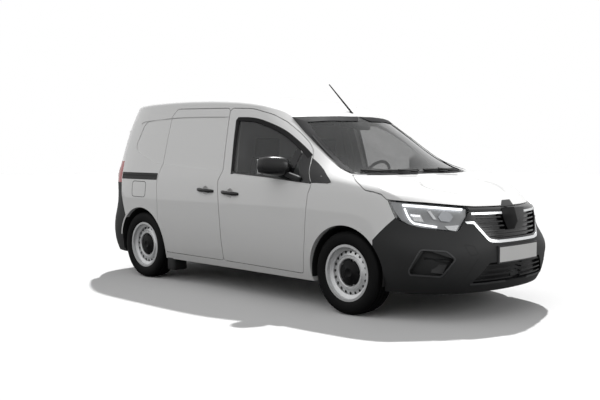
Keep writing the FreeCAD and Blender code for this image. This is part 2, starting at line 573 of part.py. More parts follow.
def make_front():
    nose = whole_shell.common(nose_prism).cut(bonnet_hole)
    lamp = nose.common(headlamp_prism)
    fog = corner_prism(FOG_RECESS, RIGHT).cut(rebate_form)
    add("front_bumper", nose.cut([headlamp_prism, mirrored(headlamp_prism), grille_prism,
                                  lower_grille_prism, fog, mirrored(fog)]))
    add("headlamps", pair(lamp))
    ahead = (FRONT_AXLE + S.front_overhang / 2, FRONT_AXLE + S.front_overhang * 1.5)
    panel = nose.common(grille_prism).cut([headlamp_prism, mirrored(headlamp_prism)])
    trim_bed = body_form(S.trim_depth, S.trim_depth)
    slat_form = body_form(S.slat_depth, S.slat_depth)
    bar_low, bar_high = [share * S.body_height for share in TRIM_BAR_SHARES]
    level_band = box(*ahead, -S.trim_bar_half, S.trim_bar_half, bar_low, bar_high)
    below = grille_prism.common(box(*ahead, -FAR, FAR, 0, TRIM_TOP_SHARE * S.body_height))
    carrier = front_prism(CARRIER, *ahead)
    band = below.cut(front_prism(TRIM_INSIDE, *ahead)).fuse(level_band.cut(carrier)).cut(trim_bed)
    trim = band.common(body_form(-S.trim_stand, -S.trim_stand)).cut([headlamp_prism, mirrored(headlamp_prism)])
    field = front_prism(GRILLE_FIELD, *ahead).cut([rebate_form, carrier])
    bars = [bar.common(slat_form) for bar in slats(SLAT_SHARES, S.slat_thickness, 0)]
    panel = panel.cut([field.cut(bars), band])
    proud = carrier.common(body_form(-S.carrier_stand, -S.carrier_stand)).cut([trim_bed, bonnet_hole])
    add("grille_trim", Part.makeCompound([solid for solid in trim.Solids if solid.Volume > S.crumb ** 3]))
    lower = nose.common(lower_grille_prism)
    bars = [bar.common(slat_form) for bar in slats(LOWER_SLAT_SHARES, S.slat_thickness, S.lower_block)]
    intake = lower.common(rebate_form).fuse([lower.common(bar) for bar in bars])
    add("front_grille", Part.makeCompound([largest(panel.fuse(proud)), largest(intake)]))


def make_top():
    add("bonnet", whole_shell.common(bonnet_tool))
    add("cowl_panel", whole_shell.common(cowl_tool).cut(bonnet_hole))
    screen = whole_shell.common(screen_tool).cut(glass_face_form)
    add("windscreen", screen)
    doorways = front_door_aperture + [mirrored(tool) for tool in front_door_aperture] + sliding_door_aperture
    doorways += rear_aperture
    roof = largest(whole_shell.common(roof_tool).cut(doorways))
    holes = []
    for along in (-S.fixing_spacing / 2, S.fixing_spacing / 2):
        for across in (-S.fixing_across / 2, S.fixing_across / 2):
            spot, _ = roof_spot(FRONT_AXLE - S.fixing_place + along, across)
            holes.append(Part.makeCylinder(S.fixing_radius, S.overrun * 2, spot - Vector(0, 0, S.overrun)))
            holes.append(Part.makeCylinder(S.fixing_seat, S.overrun, spot - Vector(0, 0, S.fixing_depth)))
    add("roof_panel", roof.cut(holes))


def make_tail():
    add("rear_bumper", whole_shell.common(tail_prism).cut(rear_aperture))
    add("tail_lamps", whole_shell.common(lamp_prism).cut(rear_aperture))


# Parts made from solids of revolution, boxes and tubes

def turned(points, origin, side):
    """Revolve a closed (radius, y) outline about a wheel's axle; y grows outwards."""
    corners = [Vector(origin.x, origin.y + side * y, origin.z + radius) for radius, y in points]
    wire = Part.makePolygon(corners + corners[:1])
    return Part.Face(wire).revolve(origin, Vector(0, 1, 0), 360)


def tube_along_y(radius, x, y_from, y_to, z):
    return Part.makeCylinder(radius, abs(y_to - y_from), Vector(x, y_from, z), Vector(0, y_to - y_from, 0))


def fused(shapes):
    return shapes[0].fuse(shapes[1:]).removeSplitter()


def wheel_centre(axle, side):
    return Vector(axle, side * WHEEL_Y, S.tyre_radius)


def make_tyre(name, axle, side):
    half = S.tyre_width / 2
    seat = S.rim_width / 2 - S.rim_wall
    shoulder = S.tyre_radius - S.tyre_bulge
    origin = wheel_centre(axle, side)

    def point(radius, y):
        return Vector(origin.x, origin.y + side * y, origin.z + radius)
    belly = (S.flange_radius + S.tyre_radius) / 2
    wall_out = Part.Arc(point(S.flange_radius, seat), point(belly, half), point(shoulder, half - S.tyre_shoulder))
    wall_in = Part.Arc(point(shoulder, S.tyre_shoulder - half), point(belly, -half),
                       point(S.flange_radius, -seat))
    tread = Part.Arc(point(shoulder, half - S.tyre_shoulder), point(S.tyre_radius, 0),
                     point(shoulder, S.tyre_shoulder - half))
    edges = [wall_out.toShape(), tread.toShape(), wall_in.toShape(),
             Part.makeLine(point(S.flange_radius, -seat), point(S.tyre_bore, -seat)),
             Part.makeLine(point(S.tyre_bore, -seat), point(S.tyre_bore, seat)),
             Part.makeLine(point(S.tyre_bore, seat), point(S.flange_radius, seat))]
    add(name, Part.Face(Part.Wire(edges)).revolve(origin, Vector(0, 1, 0), 360))


def make_rim(name, axle, side):
    """Pressed steel wheel: dropped barrel, dished disc, ring of vents and bolt holes."""
    half = S.rim_width / 2
    wall = S.rim_wall
    seat = half - wall
    drop = seat * 0.55
    origin = wheel_centre(axle, side)
    barrel = turned(((S.flange_radius, -half), (S.flange_radius, -seat), (S.tyre_bore, -seat),
                     (S.tyre_bore, -drop * 1.2), (S.well_radius, -drop), (S.well_radius, drop),
                     (S.tyre_bore, drop * 1.2), (S.tyre_bore, seat), (S.flange_radius, seat),
                     (S.flange_radius, half), (S.tyre_bore - wall, half), (S.tyre_bore - wall, drop * 1.3),
                     (S.well_radius - wall, drop * 1.05), (S.well_radius - wall, -drop * 1.05),
                     (S.tyre_bore - wall, -drop * 1.3), (S.tyre_bore - wall, -half)), origin, side)
    face = S.disc_offset
    crest = face + S.disc_rise
    front = ((S.hub_bore, face), (S.hub_radius, face), (S.hub_radius + wall, crest - wall),
             (S.hub_radius + 2 * wall, crest), (S.disc_radius, crest), (S.disc_radius + 2 * wall, crest - 2 * wall),
             (S.well_radius - 2 * wall, face), (S.well_radius - wall, face - wall))
    back = [(radius, y - S.disc_thickness) for radius, y in reversed(front)]
    disc = turned(front + tuple(back), origin, side)
    holes = []
    outwards = Vector(0, side, 0)
    for count, circle, radius in ((S.vent_count, S.vent_circle, S.vent_radius),
                                  (S.bolt_count, S.bolt_circle, S.bolt_radius)):
        for index in range(int(count)):
            angle = 2 * math.pi * index / count
            centre = origin + Vector(circle * math.sin(angle), 0, circle * math.cos(angle))
            holes.append(Part.makeCylinder(radius, S.rim_width, centre - outwards * half, outwards))
    disc = disc.cut(holes)
    add(name, barrel.fuse(disc))


def make_wheels():
    for place, axle in (("front", FRONT_AXLE), ("rear", REAR_AXLE)):
        for word, side in (("left", LEFT), ("right", RIGHT)):
            make_tyre(f"tyre_{place}_{word}", axle, side)
            make_rim(f"rim_{place}_{word}", axle, side)


def spindle(axle, side, inner):
    """Hub carrier, stub axle and the flange that the wheel seats on."""
    height = S.tyre_radius
    seat = WHEEL_Y + S.disc_offset - S.disc_thickness - S.running_gap
    return [tube_along_y(S.carrier_radius, axle, side * inner, side * (inner + S.carrier_length), height),
            tube_along_y(S.spindle_radius, axle, side * inner, side * (seat + S.spindle_tip), height),
            tube_along_y(S.hub_flange_radius, axle, side * (seat - S.hub_flange), side * seat, height)]


def make_running_gear():
    king = WHEEL_Y - S.kingpin_inset
    low = S.tyre_radius - S.kingpin_reach
    high = S.tyre_radius + S.kingpin_reach
    thick = S.arm_thickness
    subframe = [box(FRONT_AXLE - S.subframe_length / 2, FRONT_AXLE + S.subframe_length / 2,
                    -S.rail_inner, S.rail_inner, low - thick, S.floor_bottom + S.rail_drop)]
    for word, side in (("left", LEFT), ("right", RIGHT)):
        def across(x_half, near, far, bottom, top):
            y_low, y_high = sorted((side * near, side * far))
            return box(FRONT_AXLE - x_half, FRONT_AXLE + x_half, y_low, y_high, bottom, top)
        strut = king - S.strut_inset
        subframe += [
            across(S.arm_width / 2, S.rail_inner - thick, king + S.kingpin_radius, low - thick, low),
            across(S.arm_width / 2, strut, king + S.kingpin_radius, high, high + thick),
            Part.makeCylinder(S.pin_radius, S.pin_length, Vector(FRONT_AXLE, side * king, low)),
            Part.makeCylinder(S.pin_radius, S.pin_length, Vector(FRONT_AXLE, side * king, high - S.pin_length)),
            Part.makeCylinder(S.strut_radius, S.strut_top - low + thick,
                              Vector(FRONT_AXLE, side * strut, low - thick))]
        socket = S.pin_radius + S.running_gap
        gap = S.running_gap
        post = Part.makeCylinder(S.kingpin_radius, high - low - 2 * gap, Vector(FRONT_AXLE, side * king, low + gap))
        knuckle = fused([post] + spindle(FRONT_AXLE, side, king - S.carrier_length / 2))
        knuckle = knuckle.cut([
            Part.makeCylinder(socket, S.pin_length + gap, Vector(FRONT_AXLE, side * king, low)),
            Part.makeCylinder(socket, S.pin_length + gap, Vector(FRONT_AXLE, side * king, high - S.pin_length - gap))])
        add("knuckle_" + word, knuckle)
    add("front_subframe", fused(subframe))
    arms = [tube_along_y(S.beam_radius, REAR_AXLE + S.beam_lead, -S.trailing_arm, S.trailing_arm,
                         S.floor_bottom - S.beam_radius)]
    for side in (LEFT, RIGHT):
        height = S.tyre_radius
        profile = [(REAR_AXLE + S.arm_reach, S.floor_bottom - S.beam_radius * 1.5, 0),
                   (REAR_AXLE + S.arm_reach, S.floor_bottom, 0),
                   (REAR_AXLE + S.arch_radius * 0.97, S.floor_bottom, 0),
                   (REAR_AXLE + S.carrier_radius, height + S.carrier_radius / 2, 0),
                   (REAR_AXLE - S.carrier_radius, height + S.carrier_radius / 2, 0),
                   (REAR_AXLE - S.carrier_radius, height - S.carrier_radius, 0),
                   (REAR_AXLE + S.arm_reach / 2, S.floor_bottom - S.beam_radius * 1.5, 0)]
        y_low, y_high = sorted((side * S.trailing_arm, side * (S.trailing_arm + S.arm_width)))
        arms.append(side_prism(profile, y_low, y_high))
        arms += spindle(REAR_AXLE, side, S.trailing_arm)
    add("rear_axle", fused(arms))


def make_floor():
    """Pressed floor, firewall, plenum, load deck, front rails and strut towers in one welding."""
    thick = S.floor_thickness
    step = FRONT_AXLE - S.step_position
    wall = FRONT_AXLE - S.firewall_position
    bottom = S.floor_bottom
    plate = S.deck_thickness
    deck = S.deck_height
    profile = [(wall, bottom), (wall, S.firewall_top), (wall - plate, S.firewall_top),
               (wall - plate, bottom + thick), (step, bottom + thick), (step, deck), (-FAR / 2, deck),
               (-FAR / 2, deck - plate), (step - plate, deck - plate),
               (step - plate, bottom + thick), (-FAR / 2, bottom + thick), (-FAR / 2, bottom)]
    pan = side_prism([(x, z, 0) for x, z in profile], -FAR, FAR)
    shelf = top_prism(shelf_plan, S.firewall_top - plate, S.firewall_top)
    pan = pan.fuse([shelf, plenum]).common(inner_form).cut(wells + [tail_clearance()])
    rail_low = bottom + S.rail_drop
    welded = []
    for side in (LEFT, RIGHT):
        def across(x_low, x_high, near, far, z_low, z_high):
            y_low, y_high = sorted((side * near, side * far))
            return box(x_low, x_high, y_low, y_high, z_low, z_high).common(inner_form)
        outer = S.rail_inner + S.rail_width
        half = S.tower_length / 2
        welded += [
            across(wall - plate, FAR / 2, S.rail_inner, outer, rail_low, rail_low + S.rail_height),
            across(FRONT_AXLE - half, FRONT_AXLE + half, outer - plate, outer, rail_low, S.strut_top),
            across(FRONT_AXLE - half, FRONT_AXLE + half, outer - plate, FAR, S.strut_top, S.strut_top + plate)]
    add("floor_pan", largest(pan.fuse(welded)))


def tail_clearance():
    """Space kept free in front of the rear doors' inner faces, above the sill between them."""
    back = front_prism(grown(rear_opening(), S.shut_gap), *REAR_X)
    return back.cut(body_form(S.side_wall + S.seal_gap, S.top_wall))


def make_liners():
    """Half tubes over the tyres, closed towards the engine bay and the load space."""
    liners = []
    for axle, inner in ((FRONT_AXLE, S.front_well_inner), (REAR_AXLE, S.rear_well_inner)):
        centre = Vector(axle, RIGHT * inner, S.tyre_radius)
        out = Vector(0, RIGHT, 0)
        depth = HALF_WIDTH - inner - S.liner_lip
        tube = Part.makeCylinder(S.arch_radius, depth, centre, out)
        bore = Part.makeCylinder(S.arch_radius - S.liner_thickness, depth, centre + out * S.liner_thickness, out)
        keep = box(-FAR, FAR, -FAR, 0, S.liner_bottom, FAR)
        liners.append(tube.cut(bore).common(keep))
    king = WHEEL_Y - S.kingpin_inset
    strut = Part.makeCylinder(S.strut_radius + S.liner_thickness, FAR, Vector(FRONT_AXLE, S.strut_inset - king, 0))
    slot = box(FRONT_AXLE - S.strut_slot / 2, FRONT_AXLE + S.strut_slot / 2, -FAR, 0, 0, S.tyre_radius
               + S.kingpin_reach + S.strut_slot)
    liners[0] = liners[0].cut([slot, strut])
    add("arch_liners", Part.makeCompound(liners + [mirrored(liner) for liner in liners]))


def make_interior():
    thick = S.bulkhead_thickness
    place = FRONT_AXLE - S.step_position
    wall = box(place, place + thick, -FAR, FAR, S.floor_bottom + S.floor_thickness, FAR)
    add("bulkhead", wall.common(inner_form))
    face = FRONT_AXLE - S.firewall_position - S.deck_thickness
    dash = [(face, S.dash_bottom, 0), (face, S.firewall_top, 0), (FRONT_AXLE + S.dash_reach, S.firewall_top, 0),
            (FRONT_AXLE + S.dash_reach, S.dash_top, 0), (face - S.dash_depth * 0.6, S.dash_top, 60),
            (face - S.dash_depth, S.dash_top * 0.96, 40), (face - S.dash_depth, S.dash_bottom * 1.15, 60),
            (face - S.dash_depth * 0.4, S.dash_bottom, 40)]
    dash_shape = largest(side_prism(dash, -S.dash_half, S.dash_half).common(inner_form).cut(plenum))
    add("dashboard", dash_shape)
    floor = S.floor_bottom + S.floor_thickness
    seat_x = FRONT_AXLE - S.seat_front
    seats = []
    for side in (LEFT, RIGHT):
        back = seat_x - S.seat_length
        shape = [(seat_x, S.seat_height - S.seat_cushion, 40), (seat_x, S.seat_height, 60),
                 (back + S.seat_back, S.seat_height - S.seat_cushion * 0.2, 30),
                 (back - S.seat_lean + S.seat_back * 0.8, S.seat_top, 50), (back - S.seat_lean, S.seat_top, 50),
                 (back, S.seat_height - S.seat_cushion, 60)]
        y_low = side * S.seat_offset - S.seat_width / 2
        cushion = side_prism(shape, y_low, y_low + S.seat_width)
        base = box(back + S.seat_back * 0.5, seat_x - S.seat_back, y_low + S.seat_back, y_low + S.seat_width
                   - S.seat_back, floor, S.seat_height - S.seat_cushion)
        head = box(back - S.seat_lean, back - S.seat_lean + S.seat_back * 0.6, side * S.seat_offset
                   - S.seat_width * 0.27, side * S.seat_offset + S.seat_width * 0.27, S.seat_top - S.overrun / 2,
                   S.seat_top + S.head_height)
        seats.append(fused([cushion, base, head]))
    add("seats", Part.makeCompound(seats))
    centre = Vector(FRONT_AXLE - S.wheel_back, S.seat_offset, S.wheel_height)
    lean = Vector(-math.cos(math.radians(S.wheel_lean)), 0, math.sin(math.radians(S.wheel_lean)))
    ring = Part.makeTorus(S.wheel_ring, S.wheel_grip, centre, lean)
    hub = Part.makeCylinder(S.wheel_ring * 0.3, S.wheel_grip * 2, centre - lean * S.wheel_grip * 1.4, lean)
    column = Part.makeCylinder(S.wheel_grip * 1.5, S.column_length, centre - lean * S.column_length, lean)
    side_spoke = Part.makeBox(S.wheel_grip, 2 * S.wheel_ring, S.wheel_grip * 2, Vector(-S.wheel_grip / 2,
                              -S.wheel_ring, -S.wheel_grip))
    side_spoke.Placement = Placement(centre, Rotation(Vector(1, 0, 0), lean)).multiply(
        Placement(Vector(0, 0, 0), Rotation())).multiply(side_spoke.Placement)
    wheel = fused([ring, hub, column, side_spoke])
    add("steering_wheel", wheel.cut(dash_shape))
    front_axle = "(sizes.wheelbase + sizes.rear_overhang - sizes.front_overhang) / 2"
    add_block("engine_block", Length="sizes.engine_length", Width="2 * sizes.rail_inner",
              Height="sizes.engine_height", x=front_axle + " - sizes.engine_length * sizes.engine_share_behind",
              y="-sizes.rail_inner", z="sizes.floor_bottom + sizes.rail_drop")
    add_block("fuel_tank", Length="sizes.tank_length", Width="sizes.tank_width", Height="sizes.tank_depth",
              x=front_axle + " - sizes.tank_place - sizes.tank_length", y="-sizes.tank_width / 2",
              z="sizes.floor_bottom - sizes.tank_depth")


def mirror_shape(side):
    """Housing rounded in all three views, on an arm that reaches the door at the window's sill."""
    lead = FRONT_AXLE - S.mirror_place
    tail = lead - S.mirror_depth
    near, far = side * S.mirror_inner, side * S.mirror_outer
    middle = (near + far) / 2
    low, high = S.mirror_bottom, S.mirror_top
    soft = S.mirror_softness
    plan = [(lead, near, soft), (lead - soft / 2, middle, soft), (lead - 2 * soft, far, soft),
            (tail, far, soft / 3), (tail + soft / 4, near, soft / 3)]
    face = [(near, low + soft / 2, soft / 2), (near, high - soft / 2, soft), (middle, high, 2 * soft),
            (far, high - soft / 4, soft), (far, low + soft / 6, soft), (middle, low, 2 * soft)]
    flank = [(tail, low, soft / 4), (tail, high, soft / 4), (lead, high, soft), (lead, low, soft)]
    head = top_prism(plan, low - soft, high + soft).common(front_prism(face, tail - soft, lead + soft))
    head = head.common(side_prism(flank, -FAR, FAR))
    reach_in = side * S.mirror_foot_reach
    y_low, y_high = sorted((near + side * soft, reach_in))
    arm = [(tail + soft, low + soft / 2, soft / 4), (lead, low + soft / 2, soft / 4),
           (lead + 2 * soft, low - soft, soft / 4), (lead + 2 * soft, low - soft - S.mirror_arm, soft / 4),
           (lead - soft, low - soft / 3, soft)]
    arm = side_prism(arm, y_low, y_high).cut(plain_form)
    return largest(head.fuse(arm))


def roof_spot(x, y):
    """Point on the outer roof over (x, y), and the way out of it there."""
    surface = top_face(0).Surface
    spot = surface.intersect(Part.Line(Vector(x, y, 0), Vector(x, y, S.body_height)))[0][0]
    spot = Vector(spot.X, spot.Y, spot.Z)
    upwards = surface.normal(*surface.parameter(spot))
    return spot, upwards if upwards.z > 0 else -upwards


def make_outside():
    for word, side in (("right", RIGHT), ("left", LEFT)):
        add("mirror_" + word, mirror_shape(side))
    base, upwards = roof_spot(FRONT_AXLE - S.antenna_place, 0)
    base = base + upwards * S.running_gap / 2
    lean = Vector(-math.cos(math.radians(S.antenna_rake)), 0, math.sin(math.radians(S.antenna_rake)))
    rod = Part.makeCone(S.antenna_radius * 1.6, S.antenna_radius, S.antenna_length, base + upwards * S.antenna_foot / 3,
                        lean)
    foot = Part.makeCone(S.antenna_foot, S.antenna_foot / 2, S.antenna_foot, base, upwards)
    add("antenna", fused([rod, foot]))


def check(piece):
    """Refuse a sub-part whose object or shape is faulty."""
    state = set(piece.State)
    if state & {"Invalid", "Error"}:
        raise RuntimeError(f"{piece.Label}: {sorted(state)}")
    if piece.Shape.isNull() or not piece.Shape.isValid():
        raise RuntimeError(f"{piece.Label}: faulty shape")


make_wheels()
make_running_gear()
make_floor()
make_liners()
make_interior()
make_outside()
make_front()
make_top()
make_tail()
make_rear_doors()
make_sides(make_doors())
doc.recompute()
for piece in NODES:
    check(piece)
os.makedirs("parts", exist_ok=True)
for piece in NODES:
    piece.Shape.exportStep("parts/" + piece.Label + ".step")
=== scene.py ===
import bmesh
import bpy
import json
import math
import numpy
from mathutils import Matrix, Vector
from mathutils.bvhtree import BVHTree


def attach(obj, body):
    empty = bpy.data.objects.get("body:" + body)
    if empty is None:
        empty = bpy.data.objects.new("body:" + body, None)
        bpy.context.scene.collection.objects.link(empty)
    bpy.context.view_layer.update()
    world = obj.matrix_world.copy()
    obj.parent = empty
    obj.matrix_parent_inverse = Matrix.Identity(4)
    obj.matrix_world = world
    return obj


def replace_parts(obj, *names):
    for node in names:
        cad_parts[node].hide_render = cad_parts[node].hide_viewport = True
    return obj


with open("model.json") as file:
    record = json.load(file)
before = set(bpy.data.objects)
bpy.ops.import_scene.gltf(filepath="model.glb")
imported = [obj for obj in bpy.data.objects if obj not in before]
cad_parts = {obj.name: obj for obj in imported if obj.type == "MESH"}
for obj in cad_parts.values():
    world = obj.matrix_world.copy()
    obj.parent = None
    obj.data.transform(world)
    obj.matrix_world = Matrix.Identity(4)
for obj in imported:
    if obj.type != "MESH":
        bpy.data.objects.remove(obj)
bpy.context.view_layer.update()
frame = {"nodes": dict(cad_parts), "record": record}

FRONT_AXLE = 1.273
REAR_AXLE = -1.443
WHEEL_Y = 0.797
WHEEL_RADIUS = 0.326
WHEELBASE = 2.716
BODY = "van_body"
SIDES = {"right": -1, "left": 1}


# Node groups shared by the finishes

def map_range(nodes, **sockets):
    node = nodes.new("ShaderNodeMapRange")
    for label, value in sockets.items():
        node.inputs[label.replace("_", " ")].default_value = value
    return node


def new_group(name, inputs, outputs):
    group = bpy.data.node_groups.new(name, "ShaderNodeTree")
    for label, kind, value in inputs:
        socket = group.interface.new_socket(label, in_out="INPUT", socket_type=kind)
        if value is not None:
            socket.default_value = value
    for label, kind in outputs:
        group.interface.new_socket(label, in_out="OUTPUT", socket_type=kind)
    return group, group.nodes.new("NodeGroupInput"), group.nodes.new("NodeGroupOutput")


def moulded_grain():
    """Fine leathery grain of moulded plastic, with a slower unevenness under it."""
    group, start, end = new_group("moulded_grain", (("Scale", "NodeSocketFloat", 900.0),),
                                  (("Height", "NodeSocketFloat"), ("Patches", "NodeSocketFloat")))
    link = group.links.new
    place = group.nodes.new("ShaderNodeTexCoord")
    cells = group.nodes.new("ShaderNodeTexVoronoi")
    cells.feature = "SMOOTH_F1"
    patches = group.nodes.new("ShaderNodeTexNoise")
    patches.inputs["Scale"].default_value = 6.0
    patches.inputs["Detail"].default_value = 4.0
    link(place.outputs["Object"], cells.inputs["Vector"])
    link(place.outputs["Object"], patches.inputs["Vector"])
    link(start.outputs["Scale"], cells.inputs["Scale"])
    link(cells.outputs["Distance"], end.inputs["Height"])
    link(patches.outputs["Fac"], end.inputs["Patches"])
    return group


def road_film():
    """Thin film of dust that thickens towards the ground."""
    group, start, end = new_group("road_film", (("Reach", "NodeSocketFloat", 0.5),),
                                  (("Film", "NodeSocketFloat"), ("Speckle", "NodeSocketFloat")))
    link = group.links.new
    place = group.nodes.new("ShaderNodeTexCoord")
    split = group.nodes.new("ShaderNodeSeparateXYZ")
    fall = map_range(group.nodes, To_Min=1.0, To_Max=0.0)
    cloud = group.nodes.new("ShaderNodeTexNoise")
    cloud.inputs["Scale"].default_value = 9.0
    cloud.inputs["Detail"].default_value = 6.0
    both = group.nodes.new("ShaderNodeMath")
    both.operation = "MULTIPLY"
    link(place.outputs["Object"], split.inputs["Vector"])
    link(place.outputs["Object"], cloud.inputs["Vector"])
    link(split.outputs["Z"], fall.inputs["Value"])
    link(start.outputs["Reach"], fall.inputs["From Max"])
    link(fall.outputs["Result"], both.inputs[0])
    link(cloud.outputs["Fac"], both.inputs[1])
    link(both.outputs["Value"], end.inputs["Film"])
    link(cloud.outputs["Fac"], end.inputs["Speckle"])
    return group


GRAIN = moulded_grain()
FILM = road_film()


# Finishes

def finish_base(name, **sockets):
    """Material, its principled shader with constants on its own sockets, and what links its nodes."""
    material = bpy.data.materials.new(name)
    material.use_nodes = True
    shader = material.node_tree.nodes["Principled BSDF"]
    for label, value in sockets.items():
        shader.inputs[label.replace("_", " ")].default_value = value
    return material, shader, material.node_tree.links.new


def grouped(material, group, **values):
    node = material.node_tree.nodes.new("ShaderNodeGroup")
    node.node_tree = group
    for label, value in values.items():
        node.inputs[label].default_value = value
    return node


def ramp(material, source, low, high):
    """Map a 0 to 1 value onto a range."""
    node = map_range(material.node_tree.nodes, To_Min=low, To_Max=high)
    material.node_tree.links.new(source, node.inputs["Value"])
    return node.outputs["Result"]


def mixed(material, factor, first, second):
    node = material.node_tree.nodes.new("ShaderNodeMix")
    node.data_type = "RGBA"
    node.inputs[6].default_value = (*first, 1)
    node.inputs[7].default_value = (*second, 1)
    material.node_tree.links.new(factor, node.inputs[0])
    return node.outputs[2]


def bumped(material, shader, height, strength, distance):
    node = material.node_tree.nodes.new("ShaderNodeBump")
    node.inputs["Strength"].default_value = strength
    node.inputs["Distance"].default_value = distance
    material.node_tree.links.new(height, node.inputs["Height"])
    material.node_tree.links.new(node.outputs["Normal"], shader.inputs["Normal"])


def paint(name, colour, dusty, roughness=0.5, coat=1.0):
    material, shader, link = finish_base(name, Metallic=0.0, Coat_Weight=coat, Coat_Roughness=0.02)
    film = grouped(material, FILM, Reach=0.55)
    link(mixed(material, film.outputs["Film"], colour, dusty), shader.inputs["Base Color"])
    link(ramp(material, film.outputs["Film"], roughness, roughness + 0.3), shader.inputs["Roughness"])
    grain = grouped(material, GRAIN, Scale=260.0)
    bumped(material, shader, grain.outputs["Height"], 0.012, 0.0004)
    return material


def plastic(name, colour, worn, roughness, scale, strength, gloss=0.4):
    material, shader, link = finish_base(name, Metallic=0.0, Specular_IOR_Level=gloss)
    grain = grouped(material, GRAIN, Scale=scale)
    link(mixed(material, grain.outputs["Patches"], colour, worn), shader.inputs["Base Color"])
    link(ramp(material, grain.outputs["Patches"], roughness, roughness + 0.15), shader.inputs["Roughness"])
    bumped(material, shader, grain.outputs["Height"], strength, 0.0006)
    return material


def metal(name, colour, worn, roughness, metallic):
    material, shader, link = finish_base(name, Metallic=metallic)
    film = grouped(material, FILM, Reach=0.9)
    link(mixed(material, film.outputs["Speckle"], colour, worn), shader.inputs["Base Color"])
    link(ramp(material, film.outputs["Speckle"], roughness, roughness + 0.2), shader.inputs["Roughness"])
    grain = grouped(material, GRAIN, Scale=500.0)
    bumped(material, shader, grain.outputs["Height"], 0.08, 0.0003)
    return material


def clear_glass(name, tint, alpha, roughness=0.02, edge_on=None):
    """Glass shown by its gloss and a see-through share, less of it where the pane is seen edge on."""
    material, shader, link = finish_base(name, Metallic=0.0, Alpha=alpha, Specular_IOR_Level=0.6)
    film = grouped(material, FILM, Reach=2.0)
    link(mixed(material, film.outputs["Speckle"], tint, [min(1, c * 1.3) for c in tint]),
         shader.inputs["Base Color"])
    link(ramp(material, film.outputs["Speckle"], roughness, roughness + 0.03), shader.inputs["Roughness"])
    if edge_on:
        slant = material.node_tree.nodes.new("ShaderNodeLayerWeight")
        cover = map_range(material.node_tree.nodes, From_Min=0.62, From_Max=0.90, To_Min=alpha,
                          To_Max=edge_on)
        link(slant.outputs["Facing"], cover.inputs["Value"])
        link(cover.outputs["Result"], shader.inputs["Alpha"])
        shader.inputs["IOR"].default_value = 1.6
    return material


def glowing(name, colour, strength):
    material, shader, link = finish_base(name, Metallic=0.0, Emission_Strength=strength)
    grain = grouped(material, GRAIN, Scale=160.0)
    tone = mixed(material, grain.outputs["Height"], colour, [c * 0.8 for c in colour])
    link(tone, shader.inputs["Base Color"])
    link(tone, shader.inputs["Emission Color"])
    return material


def rubber(name):
    material, shader, link = finish_base(name, Metallic=0.0, Specular_IOR_Level=0.12)
    grain = grouped(material, GRAIN, Scale=420.0)
    link(mixed(material, grain.outputs["Patches"], (0.004, 0.004, 0.0043), (0.008, 0.008, 0.0083)),
         shader.inputs["Base Color"])
    link(ramp(material, grain.outputs["Patches"], 0.5, 0.75), shader.inputs["Roughness"])
    bumped(material, shader, grain.outputs["Height"], 0.12, 0.0005)
    return material


def cloth(name, colour, worn):
    """Woven seat cloth: two crossed sets of threads."""
    material, shader, link = finish_base(name, Metallic=0.0, Sheen_Weight=0.3)
    nodes = material.node_tree.nodes
    place = nodes.new("ShaderNodeTexCoord")
    threads = []
    for direction in ("X", "Z"):
        wave = nodes.new("ShaderNodeTexWave")
        wave.bands_direction = direction
        wave.inputs["Scale"].default_value = 130.0
        link(place.outputs["Object"], wave.inputs["Vector"])
        threads.append(wave)
    weave = nodes.new("ShaderNodeMath")
    weave.operation = "MULTIPLY"
    for index, wave in enumerate(threads):
        link(wave.outputs["Fac"], weave.inputs[index])
    link(mixed(material, weave.outputs["Value"], colour, worn), shader.inputs["Base Color"])
    link(ramp(material, weave.outputs["Value"], 0.8, 0.95), shader.inputs["Roughness"])
    bumped(material, shader, weave.outputs["Value"], 0.4, 0.001)
    return material


